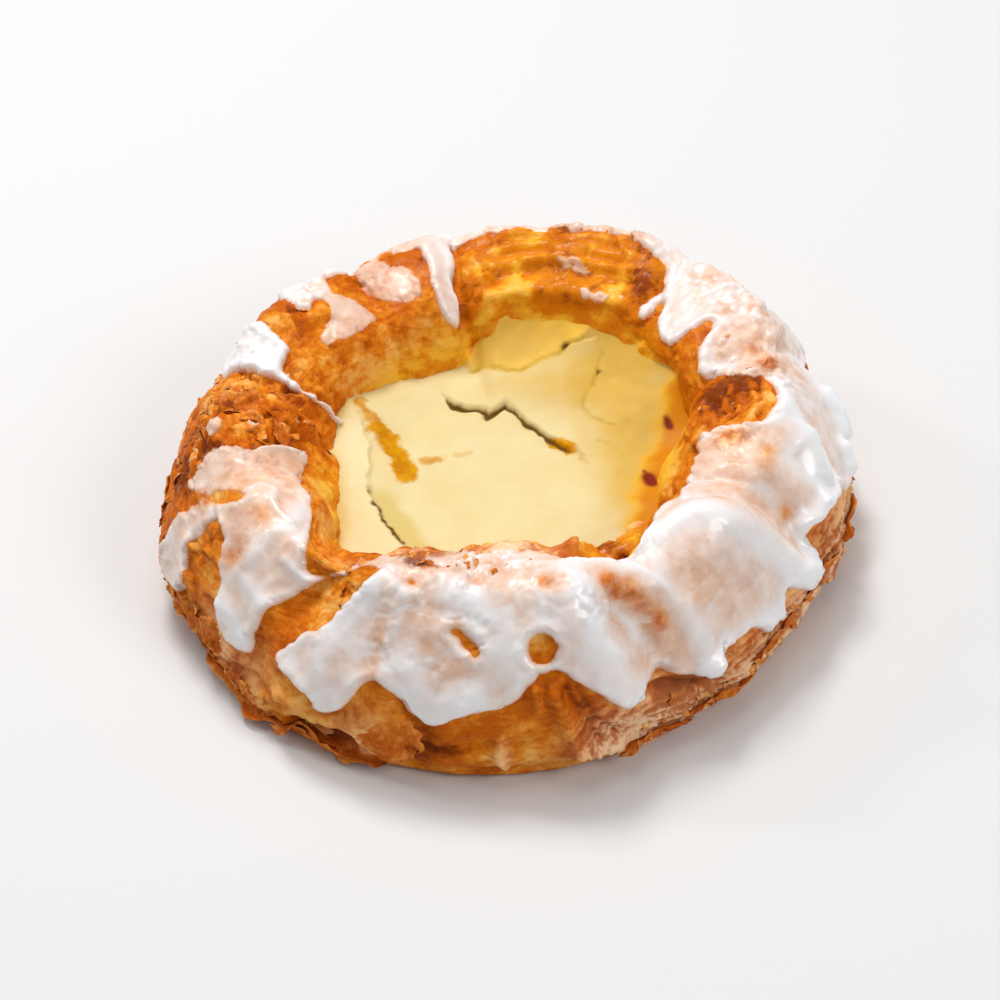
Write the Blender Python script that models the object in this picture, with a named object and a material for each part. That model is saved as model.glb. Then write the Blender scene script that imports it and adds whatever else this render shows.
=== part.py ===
"""A custard danish: a round of laminated dough whose edge is folded in to make a puffed ring, and the
custard that fills the well inside it. Metres, +Z up; the origin is under the middle, on the flat base."""

from collections import namedtuple

import bmesh
import bpy
import numpy as np

# Driving dimensions, in metres
WIDTH = 0.1155  # left to right, over the ring's widest points
DEPTH = 0.1130  # front to back
HEIGHT = 0.0315  # from the base to the top of the highest fold
FLOOR = 0.0060  # dough under the custard
WIDEST_HEIGHT = 0.0085  # where the side bulges out most
FILL_LEVEL = 0.0155  # the custard's usual height above the base
GAP = 0.0004  # between the custard and the dough, so that the two solids stay apart
CREASE_DEPTH = 0.0028  # how far the ring dips between two folds
CREASE_SHARPNESS = 5  # a higher power keeps a fold fuller and its creases narrower
CREASE_SOFTENING = 2.4  # degrees each way over which the relief is evened out
LAP_RUN = 7  # degrees over which a lapping edge sinks back into its fold

COLUMNS = 100  # round the ring
DOUGH_STEPS = (1, 2, 1, 1, 2, 2, 3, 3, 3, 2, 1, 1, 1, 1)  # rows from each station to the next
CUSTARD_STEPS = 8  # rows over the custard's top, from the wall to the middle

# The folds of the ring, counter-clockwise. A fold runs from its own crease to the next one's.
# lip and foot: the crease's heading in degrees at the inner lip and at the outer foot, with 0 to the right
# and 90 to the back. reach: the ring's outer radius. well: the well's radius at the custard. crest: the
# ring's height. ridge: how far out from the well the top of the ring lies, as a share of the ring's width.
# lap: how far the fold's first edge lies over the fold before it. puff: how round it is.
Fold = namedtuple("Fold", "lip foot reach well crest ridge lap puff")
FOLDS = (
    Fold(21, 27, 0.0610, 0.0310, 0.0300, 0.62, 0.0006, 0.8),  # back right
    Fold(51, 54, 0.0580, 0.0315, 0.0296, 0.66, 0.0004, 0.8),  # back
    Fold(103, 101, 0.0570, 0.0285, 0.0290, 0.64, 0.0008, 0.8),  # back left, narrow
    Fold(127, 121, 0.0570, 0.0300, 0.0290, 0.60, 0.0012, 1.0),  # left back, a knob
    Fold(169, 152, 0.0575, 0.0320, 0.0275, 0.52, 0.0016, 1.0),  # left, wide
    Fold(236, 221, 0.0553, 0.0280, 0.0305, 0.50, 0.0008, 1.2),  # front, wide
    Fold(298, 311, 0.0520, 0.0285, 0.0285, 0.50, 0.0006, 1.0),  # front right
    Fold(338, 345, 0.0575, 0.0275, 0.0290, 0.52, 0.0006, 0.8),  # right
)

# The ring's cross-section, from the middle of the base, out under the foot, over the crest and down into
# the well. A station's radius is its shares of the well's radius, the ridge's and the reach, plus out. Its
# height is its share of the crest's height, plus up. relief: how much of the folds' shape shows there.
# toe: how much of the wall's toe, below, it takes.
Station = namedtuple("Station", "well ridge reach out crest up relief toe", defaults=(0.0,))
STATIONS = (
    Station(0.0, 0.0, 0.0, 0.0, 0.0, 0.0, 0.0),  # the middle of the base
    Station(0.0, 0.0, 0.5, 0.0, 0.0, 0.0, 0.0),
    Station(0.0, 0.0, 1.0, -0.0040, 0.0, 0.0, 0.20),  # the edge that it rests on
    Station(0.0, 0.0, 1.0, -0.0008, 0.0, 0.0030, 0.40),  # the foot
    Station(0.0, 0.0, 1.0, 0.0, 0.0, WIDEST_HEIGHT, 0.50),  # the widest place
    Station(0.0, 0.20, 0.80, 0.0, 0.42, 0.0050, 0.80),
    Station(0.0, 0.62, 0.38, 0.0, 0.80, 0.0018, 1.00),
    Station(0.0, 1.0, 0.0, 0.0, 1.0, 0.0, 1.00),  # the crest
    Station(0.65, 0.35, 0.0, 0.0, 0.80, 0.0036, 1.00),  # the lip
    Station(0.90, 0.10, 0.0, 0.0, 0.42, 0.0090, 0.65, 0.45),
    Station(1.0, 0.0, 0.0, 0.0, 0.0, FILL_LEVEL, 0.30, 1.0),  # where the custard usually meets the wall
    Station(1.0, 0.0, 0.0, -0.0018, 0.0, 0.0105, 0.10, 1.0),
    Station(1.0, 0.0, 0.0, -0.0070, 0.0, FLOOR, 0.0, 0.6),  # the edge of the well's floor
    Station(0.4, 0.0, 0.0, 0.0, 0.0, FLOOR, 0.0),
    Station(0.0, 0.0, 0.0, 0.0, 0.0, FLOOR, 0.0),  # the middle of the well's floor
)
FOOT, LIP, FLOOR_EDGE = 3, 8, 12  # places in STATIONS

# Rounded swellings and hollows on top of the folds: heading and station of the middle, how far each way
# the swelling spreads (degrees, stations) and its height.
Swelling = namedtuple("Swelling", "heading station spread_heading spread_station height")
SWELLINGS = (
    Swelling(193, 4.4, 8, 1.2, 0.0022),  # a low pleat on the left side
    Swelling(233, 3.0, 13, 1.8, 0.0034),  # a flap of dough along the foot, front left
    Swelling(229, 6.2, 8, 1.2, -0.0024),  # the hollow at the front fold's left end
    Swelling(252, 4.2, 10, 1.0, 0.0012),
    Swelling(281, 4.6, 9, 1.3, 0.0016),
    Swelling(246, 7.0, 6, 1.0, 0.0012),
    Swelling(262, 6.6, 4, 1.4, -0.0010),
    Swelling(284, 6.6, 8, 1.3, 0.0016),
    Swelling(318, 6.4, 11, 1.4, 0.0018),
    Swelling(2, 6.6, 8, 1.3, 0.0014),
    Swelling(74, 7.2, 9, 1.2, 0.0008),
    Swelling(147, 7.0, 8, 1.0, 0.0012),
    Swelling(183, 7.0, 9, 1.1, 0.0012),
    Swelling(206, 6.4, 9, 1.4, 0.0014),
    Swelling(222, 8.0, 9, 0.9, -0.0028),  # the dip between the left fold and the front one
)

# What is added to a measure along the ring: heading of the middle, spread in degrees, and the most added
Bend = namedtuple("Bend", "heading spread amount")
WELL_BENDS = (  # corners where the well reaches farther out
    Bend(222, 11, 0.0046),
    Bend(302, 9, 0.0020),
)
WALL_TOES = (  # where the foot of the wall slopes in under the custard
    Bend(186, 20, 0.0048),
    Bend(352, 20, 0.0028),
)
CLIMBS = (  # where the custard climbs the wall
    Bend(96, 11, 0.0036),
    Bend(75, 14, 0.0050),
    Bend(52, 13, 0.0036),
    Bend(30, 12, 0.0018),
    Bend(182, 26, 0.0018),
    Bend(330, 16, 0.0012),
)
CLIMB_RUN = 6  # a higher power keeps the climb closer to the wall

# Where the custard's skin has lifted as it set: middle, spread each way and height
Mound = namedtuple("Mound", "x y spread_x spread_y height")
MOUNDS = (
    Mound(0.0040, 0.0200, 0.0180, 0.0080, 0.0016),  # the far part
    Mound(-0.0250, -0.0020, 0.0045, 0.0140, 0.0014),  # a band along the left
    Mound(0.0020, -0.0060, 0.0150, 0.0100, -0.0006),  # the middle, slightly sunk
)


def around(knot_headings, values, headings):
    """A smooth closed curve through one value at each knot heading, read at the given headings."""
    order = np.argsort(np.mod(knot_headings, 360))
    knots = np.mod(knot_headings, 360)[order]
    values = np.asarray(values, float)[order]
    knots = np.concatenate([knots[-2:] - 360, knots, knots[:2] + 360])
    values = np.concatenate([values[-2:], values, values[:2]])
    headings = np.mod(headings, 360)
    i = np.clip(np.searchsorted(knots, headings, side="right") - 1, 1, len(knots) - 3)
    span = knots[i + 1] - knots[i]
    t = (headings - knots[i]) / span
    slope_in = (values[i + 1] - values[i - 1]) / (knots[i + 1] - knots[i - 1]) * span
    slope_out = (values[i + 2] - values[i]) / (knots[i + 2] - knots[i]) * span
    return (
        values[i] * (2 * t**3 - 3 * t**2 + 1)
        + slope_in * (t**3 - 2 * t**2 + t)
        + values[i + 1] * (3 * t**2 - 2 * t**3)
        + slope_out * (t**3 - t**2)
    )


def gap_between(headings, middle):
    """The signed angle from middle to each heading, from -180 to 180 degrees."""
    return np.mod(headings - middle + 180, 360) - 180


def added(bends, headings):
    """How much the bends add in all at each heading."""
    total = np.zeros(len(headings))
    for bend in bends:
        total += bend.amount * np.exp(-((gap_between(headings, bend.heading) / bend.spread) ** 2))
    return total


def fold_values(field, headings):
    """One measure of the folds, such as reach, carried smoothly round the ring."""
    middles = []
    for fold, after in zip(FOLDS, FOLDS[1:] + FOLDS[:1]):
        start = (fold.lip + fold.foot) / 2
        middles.append(start + np.mod((after.lip + after.foot) / 2 - start, 360) / 2)
    return around(np.array(middles), [getattr(fold, field) for fold in FOLDS], headings)


def station_places(steps):
    """The rows of a cross-section, each as a place between stations, such as 4.5."""
    places = [k + step / count for k, count in enumerate(steps) for step in range(count)]
    return np.array(places + [len(steps)])


def blend_weights(places, count):
    """For each place, how much of each station a smooth curve through them all takes."""
    weights = np.zeros((len(places), count))
    for row, place in enumerate(places):
        k = min(int(place), count - 2)
        t = place - k
        shares = (
            (-t + 2 * t**2 - t**3) / 2,
            (2 - 5 * t**2 + 3 * t**3) / 2,
            (t + 4 * t**2 - 3 * t**3) / 2,
            (t**3 - t**2) / 2,
        )
        for step, share in enumerate(shares, -1):
            weights[row, min(max(k + step, 0), count - 1)] += share
    return weights


def cross_sections(headings, places):
    """Radius, height and relief of the plain ring, as arrays of places by headings."""
    reach = fold_values("reach", headings)
    well = fold_values("well", headings)
    crest = fold_values("crest", headings)
    ridge = well + (reach - well) * fold_values("ridge", headings)
    well = well + added(WELL_BENDS, headings)
    toe = added(WALL_TOES, headings)
    radius = [s.well * well + s.ridge * ridge + s.reach * reach + s.out - s.toe * toe for s in STATIONS]
    height = np.array([s.crest * crest + s.up for s in STATIONS])
    weights = blend_weights(places, len(STATIONS))
    relief = np.clip(weights @ np.array([s.relief for s in STATIONS]), 0, 1)
    return weights @ np.array(radius), np.maximum(weights @ height, 0), relief[:, None]


def fold_relief(headings, places):
    """How far the folds and creases push the plain ring out or in, before the stations' relief."""
    slant = np.clip((LIP - places) / (LIP - FOOT), -0.3, 1.2)[:, None]
    shape = np.zeros((len(places), len(headings)))
    for fold, after in zip(FOLDS, FOLDS[1:] + FOLDS[:1]):
        start = fold.lip + gap_between(fold.foot, fold.lip) * slant
        end = after.lip + gap_between(after.foot, after.lip) * slant
        width = np.mod(end - start, 360)
        along = np.mod(headings[None, :] - start, 360) / width
        dip = np.abs(2 * along - 1) ** CREASE_SHARPNESS
        lap = fold.lap * np.exp(-along * width / LAP_RUN)
        shape = np.where(along < 1, lap - CREASE_DEPTH * fold.puff * dip, shape)
    for swelling in SWELLINGS:
        across = gap_between(headings, swelling.heading)[None, :] / swelling.spread_heading
        down = (places[:, None] - swelling.station) / swelling.spread_station
        shape += swelling.height * np.exp(-(across**2) - down**2)
    return shape


def even_relief(headings, places):
    """The folds' relief with its steps softened, so that the facets follow the creases cleanly."""
    shifts = np.linspace(-CREASE_SOFTENING, CREASE_SOFTENING, 5)
    return np.mean([fold_relief(headings + shift, places) for shift in shifts], axis=0)


def outward(points):
    """Unit normals of a grid of points, rows by columns, which closes on itself along each row."""
    along = np.roll(points, -1, axis=1) - np.roll(points, 1, axis=1)
    down = np.gradient(points, axis=0)
    normals = np.cross(along, down)
    return normals / np.maximum(np.linalg.norm(normals, axis=2, keepdims=True), 1e-12)


def dough_grid(headings, places):
    """The dough's surface, as a grid of points: rows follow the cross-section, columns the ring."""
    radius, height, relief = cross_sections(headings, places)
    angles = np.radians(headings)
    plain = np.stack([radius * np.cos(angles), radius * np.sin(angles), height], axis=2)
    push = even_relief(headings, places) * relief
    grid = plain + outward(plain) * push[:, :, None]
    grid[:, :, 2] = np.maximum(grid[:, :, 2], 0)
    return grid


def mound_heights(points):
    """How far the custard's skin lies above or below its usual level at each point."""
    height = np.zeros(len(points))
    for mound in MOUNDS:
        across = (points[:, 0] - mound.x) / mound.spread_x
        along = (points[:, 1] - mound.y) / mound.spread_y
        height += mound.height * np.exp(-(across**2) - along**2)
    return height


def custard_grid(headings, places, dough):
    """The custard's surface: out along the well's floor, up its wall, then in over the top to the middle."""
    wall = (dough + outward(dough) * GAP)[places >= LIP][::-1]
    floor_rows = np.count_nonzero(places >= FLOOR_EDGE)
    rows = list(wall[:floor_rows])
    climbing = wall[floor_rows - 1 :]
    brim = FILL_LEVEL + added(CLIMBS, headings)
    for share in (0.5, 1.0):
        level = FLOOR + (brim - FLOOR) * share
        row = np.empty_like(rows[0])
        for column, rising in enumerate(np.swapaxes(climbing, 0, 1)):
            for axis in range(3):
                row[column, axis] = np.interp(level[column], rising[:, 2], rising[:, axis])
        rows.append(row)
    edge = rows[-1]
    for step in range(1, CUSTARD_STEPS + 1):
        share = 1 - step / CUSTARD_STEPS
        row = edge * share
        settled = mound_heights(row) * (1 - share**CLIMB_RUN)
        row[:, 2] = FILL_LEVEL + (edge[:, 2] - FILL_LEVEL) * share**CLIMB_RUN + settled
        rows.append(row)
    return np.array(rows)


def closed_mesh(name, grid):
    """A mesh of a grid whose first and last rows each close to a point."""
    mesh = bpy.data.meshes.new(name)
    shape = bmesh.new()
    first = shape.verts.new(grid[0].mean(axis=0))
    rows = [[shape.verts.new(point) for point in row] for row in grid[1:-1]]
    last = shape.verts.new(grid[-1].mean(axis=0))
    count = len(rows[0])
    for k in range(count):
        after = (k + 1) % count
        shape.faces.new((first, rows[0][after], rows[0][k]))
        shape.faces.new((rows[-1][k], rows[-1][after], last))
        for upper, lower in zip(rows, rows[1:]):
            shape.faces.new((upper[k], upper[after], lower[after], lower[k]))
    bmesh.ops.recalc_face_normals(shape, faces=shape.faces)
    shape.to_mesh(mesh)
    shape.free()
    mesh.shade_smooth()
    return mesh


def plain_material(name, colour, roughness):
    """A plain finish for one sub-part."""
    material = bpy.data.materials.new(name)
    material.use_nodes = True
    shader = material.node_tree.nodes["Principled BSDF"]
    shader.inputs["Base Color"].default_value = (*colour, 1)
    shader.inputs["Roughness"].default_value = roughness
    shader.inputs["Metallic"].default_value = 0
    return material


def add_piece(name, grid, material):
    piece = bpy.data.objects.new(name, closed_mesh(name, grid))
    piece.data.materials.append(material)
    bpy.context.scene.collection.objects.link(piece)


def main():
    for old in list(bpy.data.objects):
        bpy.data.objects.remove(old)
    headings = np.arange(COLUMNS) * 360 / COLUMNS
    places = station_places(DOUGH_STEPS)
    dough = dough_grid(headings, places)
    custard = custard_grid(headings, places, dough)
    low = dough.min(axis=(0, 1))
    high = dough.max(axis=(0, 1))
    foot_middle = np.array([(low[0] + high[0]) / 2, (low[1] + high[1]) / 2, 0])
    scale = np.array([WIDTH, DEPTH, HEIGHT]) / (high - low)
    add_piece("dough", (dough - foot_middle) * scale, plain_material("baked_dough", (0.52, 0.22, 0.05), 0.45))
    add_piece("custard", (custard - foot_middle) * scale, plain_material("custard", (0.92, 0.70, 0.36), 0.35))


main()
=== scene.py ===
"""The looks of a custard danish: its baked crust, the custard in its well, the icing poured over it and its
loose flakes. The forms are worked out in millimetres, round the ring: a heading in degrees (0 to the right,
90 to the back) and a place in the ring's cross-section (3 the foot, 7 the crest, 10 the custard's line)."""

import math
from collections import namedtuple

import bpy
import numpy as np
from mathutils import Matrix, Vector


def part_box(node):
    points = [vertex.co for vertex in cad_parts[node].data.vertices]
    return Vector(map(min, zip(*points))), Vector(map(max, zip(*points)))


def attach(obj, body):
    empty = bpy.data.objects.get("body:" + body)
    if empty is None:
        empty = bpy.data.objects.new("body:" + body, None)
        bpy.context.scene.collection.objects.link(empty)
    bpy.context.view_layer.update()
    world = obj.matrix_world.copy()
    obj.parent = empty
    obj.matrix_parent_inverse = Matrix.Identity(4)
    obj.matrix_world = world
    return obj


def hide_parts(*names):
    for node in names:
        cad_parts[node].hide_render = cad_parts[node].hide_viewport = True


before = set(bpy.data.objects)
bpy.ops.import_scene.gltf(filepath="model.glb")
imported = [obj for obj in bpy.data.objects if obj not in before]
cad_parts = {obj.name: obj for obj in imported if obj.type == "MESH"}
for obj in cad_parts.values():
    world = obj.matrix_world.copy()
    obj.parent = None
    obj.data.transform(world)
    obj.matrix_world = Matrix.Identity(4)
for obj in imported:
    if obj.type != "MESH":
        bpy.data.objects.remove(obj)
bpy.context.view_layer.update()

MM = 0.001
RING_RADIUS = 45.0  # the middle of the ring's own width, for patterns that run round it
FILL_LEVEL = 15.5  # the custard's usual height
FLOOR = 6.0
CREASE_DEPTH = 2.8
CREASE_SHARPNESS = 5
CREASE_SOFTENING = 0.9  # degrees
LAP_RUN = 7

# The folds and the cross-section of the ring, as the solid dough has them
Fold = namedtuple("Fold", "lip foot reach well crest ridge lap puff")
FOLDS = (
    Fold(21, 27, 61.0, 31.0, 30.0, 0.62, 0.6, 0.8),
    Fold(51, 54, 58.0, 31.5, 29.6, 0.66, 0.4, 0.8),
    Fold(103, 101, 57.0, 28.5, 29.0, 0.64, 0.8, 0.8),
    Fold(127, 121, 57.0, 30.0, 29.0, 0.60, 1.2, 1.0),
    Fold(169, 152, 57.5, 32.0, 27.5, 0.52, 1.6, 1.0),
    Fold(236, 221, 55.3, 28.0, 30.5, 0.50, 0.8, 1.2),
    Fold(298, 311, 52.0, 28.5, 28.5, 0.50, 0.6, 1.0),
    Fold(338, 345, 57.5, 27.5, 29.0, 0.52, 0.6, 0.8),
)
Station = namedtuple("Station", "well ridge reach out crest up relief toe", defaults=(0.0,))
STATIONS = (
    Station(0.0, 0.0, 0.0, 0.0, 0.0, 0.0, 0.0),
    Station(0.0, 0.0, 0.5, 0.0, 0.0, 0.0, 0.0),
    Station(0.0, 0.0, 1.0, -4.0, 0.0, 0.0, 0.20),
    Station(0.0, 0.0, 1.0, -0.8, 0.0, 3.0, 0.40),
    Station(0.0, 0.0, 1.0, 0.0, 0.0, 8.5, 0.50),
    Station(0.0, 0.20, 0.80, 0.0, 0.42, 5.0, 0.80),
    Station(0.0, 0.62, 0.38, 0.0, 0.80, 1.8, 1.00),
    Station(0.0, 1.0, 0.0, 0.0, 1.0, 0.0, 1.00),
    Station(0.65, 0.35, 0.0, 0.0, 0.80, 3.6, 1.00),
    Station(0.90, 0.10, 0.0, 0.0, 0.42, 9.0, 0.65, 0.45),
    Station(1.0, 0.0, 0.0, 0.0, 0.0, FILL_LEVEL, 0.30, 1.0),
    Station(1.0, 0.0, 0.0, -1.8, 0.0, 10.5, 0.10, 1.0),
    Station(1.0, 0.0, 0.0, -7.0, 0.0, FLOOR, 0.0, 0.6),
    Station(0.4, 0.0, 0.0, 0.0, 0.0, FLOOR, 0.0),
    Station(0.0, 0.0, 0.0, 0.0, 0.0, FLOOR, 0.0),
)
FOOT, CREST, LIP, FILL_LINE = 3, 7, 8, 10
Swelling = namedtuple("Swelling", "heading station spread_heading spread_station height")
SWELLINGS = (
    Swelling(193, 4.4, 8, 1.2, 2.2),
    Swelling(233, 3.0, 13, 1.8, 3.4),
    Swelling(229, 6.2, 8, 1.2, -2.4),
    Swelling(252, 4.2, 10, 1.0, 1.2),
    Swelling(281, 4.6, 9, 1.3, 1.6),
    Swelling(246, 7.0, 6, 1.0, 1.2),
    Swelling(262, 6.6, 4, 1.4, -1.0),
    Swelling(284, 6.6, 8, 1.3, 1.6),
    Swelling(318, 6.4, 11, 1.4, 1.8),
    Swelling(2, 6.6, 8, 1.3, 1.4),
    Swelling(74, 7.2, 9, 1.2, 0.8),
    Swelling(147, 7.0, 8, 1.0, 1.2),
    Swelling(183, 7.0, 9, 1.1, 1.2),
    Swelling(206, 6.4, 9, 1.4, 1.4),
    Swelling(222, 8.0, 9, 0.9, -2.8),
)
Bend = namedtuple("Bend", "heading spread amount")
WELL_BENDS = (Bend(222, 11, 4.6), Bend(302, 9, 2.0))
WALL_TOES = (Bend(186, 20, 4.8), Bend(352, 20, 2.8))
FILLED_CREASES = (Bend(303, 8, 0.85),)  # where icing and crumbs fill a crease, by that share of its depth

# --- Patterns -------------------------------------------------------------------------------------------


def scatter(cells, seed):
    """A repeatable random number from 0 to 1 for each whole-numbered cell."""
    x, y, z = (cells[..., k].astype(np.int64) for k in range(3))
    mixed = (x * 73856093) ^ (y * 19349663) ^ (z * 83492791) ^ (seed * 2654435761)
    mixed = ((mixed ^ (mixed >> 13)) * 1274126177) & 0xFFFFFFFF
    mixed = ((mixed ^ (mixed >> 16)) * 2246822519) & 0xFFFFFFFF
    return ((mixed ^ (mixed >> 15)) & 0xFFFFFF) / 0xFFFFFF


def lumps(space, size, seed):
    """Smooth noise from -1 to 1 whose bumps are about size across."""
    at = space / size
    cell = np.floor(at)
    t = at - cell
    t = t * t * t * (t * (t * 6 - 15) + 10)
    total = 0
    for corner in np.ndindex(2, 2, 2):
        step = np.array(corner)
        share = np.prod(np.where(step, t, 1 - t), axis=-1)
        total = total + share * scatter(cell + step, seed)
    return total * 2 - 1


def layered_lumps(space, size, seed, layers=3):
    """Noise with finer and fainter noise on top of it."""
    return sum(lumps(space, size / 2**k, seed + k) / 2**k for k in range(layers))


def cells_of(space, size, seed):
    """Irregular cells about size across: the distance to the nearest centre, how much farther the next
    one is, a random number that is the same all over a cell, and a ramp that leans its own way in each."""
    at = space / size
    base = np.floor(at)
    nearest = np.full(at.shape[:-1], 9.0)
    second = nearest.copy()
    own = np.zeros_like(nearest)
    ramp = np.zeros_like(nearest)
    for corner in np.ndindex(3, 3, 3):
        cell = base + np.array(corner) - 1
        away = at - cell - np.stack([scatter(cell, seed + k) for k in range(3)], axis=-1)
        lean = np.stack([scatter(cell, seed + k) for k in (4, 5, 6)], axis=-1) * 2 - 1
        gap = np.linalg.norm(away, axis=-1)
        closer = gap < nearest
        second = np.where(closer, nearest, np.minimum(second, gap))
        own = np.where(closer, scatter(cell, seed + 7), own)
        ramp = np.where(closer, (away * lean).sum(axis=-1), ramp)
        nearest = np.where(closer, gap, nearest)
    return nearest * size, (second - nearest) * size, own, ramp


def ease(value, low, high):
    """0 below low, 1 above high and smooth between them."""
    t = np.clip((value - low) / (high - low), 0, 1)
    return t * t * (3 - 2 * t)


def evened(field, rounds):
    """The field with its fine detail blurred away, closed round the ring."""
    for _ in range(rounds):
        field = (np.roll(field, 1, axis=1) + 2 * field + np.roll(field, -1, axis=1)) / 4
        above = np.concatenate([field[:1], field[:-1]])
        below = np.concatenate([field[1:], field[-1:]])
        field = (above + 2 * field + below) / 4
    return field


# --- The dough's form -----------------------------------------------------------------------------------


def around(knot_headings, values, headings):
    """A smooth closed curve through one value at each knot heading, read at the given headings."""
    order = np.argsort(np.mod(knot_headings, 360))
    knots = np.mod(knot_headings, 360)[order]
    values = np.asarray(values, float)[order]
    knots = np.concatenate([knots[-2:] - 360, knots, knots[:2] + 360])
    values = np.concatenate([values[-2:], values, values[:2]])
    headings = np.mod(headings, 360)
    i = np.clip(np.searchsorted(knots, headings, side="right") - 1, 1, len(knots) - 3)
    span = knots[i + 1] - knots[i]
    t = (headings - knots[i]) / span
    slope_in = (values[i + 1] - values[i - 1]) / (knots[i + 1] - knots[i - 1]) * span
    slope_out = (values[i + 2] - values[i]) / (knots[i + 2] - knots[i]) * span
    return (
        values[i] * (2 * t**3 - 3 * t**2 + 1)
        + slope_in * (t**3 - 2 * t**2 + t)
        + values[i + 1] * (3 * t**2 - 2 * t**3)
        + slope_out * (t**3 - t**2)
    )


def gap_between(headings, middle):
    """The signed angle from middle to each heading, from -180 to 180 degrees."""
    return np.mod(headings - middle + 180, 360) - 180


def added(bends, headings):
    """How much the bends add in all at each heading."""
    return sum(bend.amount * np.exp(-((gap_between(headings, bend.heading) / bend.spread) ** 2)) for bend in bends)


def fold_values(field, headings):
    middles = []
    for fold, after in zip(FOLDS, FOLDS[1:] + FOLDS[:1]):
        start = (fold.lip + fold.foot) / 2
        middles.append(start + np.mod((after.lip + after.foot) / 2 - start, 360) / 2)
    return around(np.array(middles), [getattr(fold, field) for fold in FOLDS], headings)


def station_places(steps):
    places = [k + step / count for k, count in enumerate(steps) for step in range(count)]
    return np.array(places + [len(steps)])


def blend_weights(places, count):
    """For each place, how much of each station a smooth curve through them all takes."""
    weights = np.zeros((len(places), count))
    for row, place in enumerate(places):
        k = min(int(place), count - 2)
        t = place - k
        shares = (
            (-t + 2 * t**2 - t**3) / 2,
            (2 - 5 * t**2 + 3 * t**3) / 2,
            (t + 4 * t**2 - 3 * t**3) / 2,
            (t**3 - t**2) / 2,
        )
        for step, share in enumerate(shares, -1):
            weights[row, min(max(k + step, 0), count - 1)] += share
    return weights


def cross_sections(headings, places):
    """Radius, height and relief of the plain ring, as arrays of places by headings."""
    reach = fold_values("reach", headings)
    well = fold_values("well", headings)
    crest = fold_values("crest", headings)
    ridge = well + (reach - well) * fold_values("ridge", headings)
    well = well + added(WELL_BENDS, headings)
    toe = added(WALL_TOES, headings)
    radius = [s.well * well + s.ridge * ridge + s.reach * reach + s.out - s.toe * toe for s in STATIONS]
    height = np.array([s.crest * crest + s.up for s in STATIONS])
    weights = blend_weights(places, len(STATIONS))
    relief = np.clip(weights @ np.array([s.relief for s in STATIONS]), 0, 1)
    return weights @ np.array(radius), np.maximum(weights @ height, 0), relief[:, None]


def fold_relief(headings, places):
    """How far the folds and creases push the plain ring out or in, before the stations' relief."""
    slant = np.clip((LIP - places) / (LIP - FOOT), -0.3, 1.2)[:, None]
    shape = np.zeros((len(places), len(headings)))
    open_share = 1 - added(FILLED_CREASES, headings)
    for fold, after in zip(FOLDS, FOLDS[1:] + FOLDS[:1]):
        start = fold.lip + gap_between(fold.foot, fold.lip) * slant
        end = after.lip + gap_between(after.foot, after.lip) * slant
        width = np.mod(end - start, 360)
        along = np.mod(headings[None, :] - start, 360) / width
        dip = np.abs(2 * along - 1) ** CREASE_SHARPNESS
        lap = fold.lap * np.exp(-along * width / LAP_RUN)
        shape = np.where(along < 1, lap - CREASE_DEPTH * fold.puff * dip * open_share, shape)
    for swelling in SWELLINGS:
        across = gap_between(headings, swelling.heading)[None, :] / swelling.spread_heading
        down = (places[:, None] - swelling.station) / swelling.spread_station
        shape += swelling.height * np.exp(-(across**2) - down**2)
    return shape


def outward(points):
    """Unit normals of a grid of points, rows by columns, which closes on itself along each row."""
    along = np.roll(points, -1, axis=1) - np.roll(points, 1, axis=1)
    down = np.gradient(points, axis=0)
    normals = np.cross(along, down)
    return normals / np.maximum(np.linalg.norm(normals, axis=2, keepdims=True), 1e-12)


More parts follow.
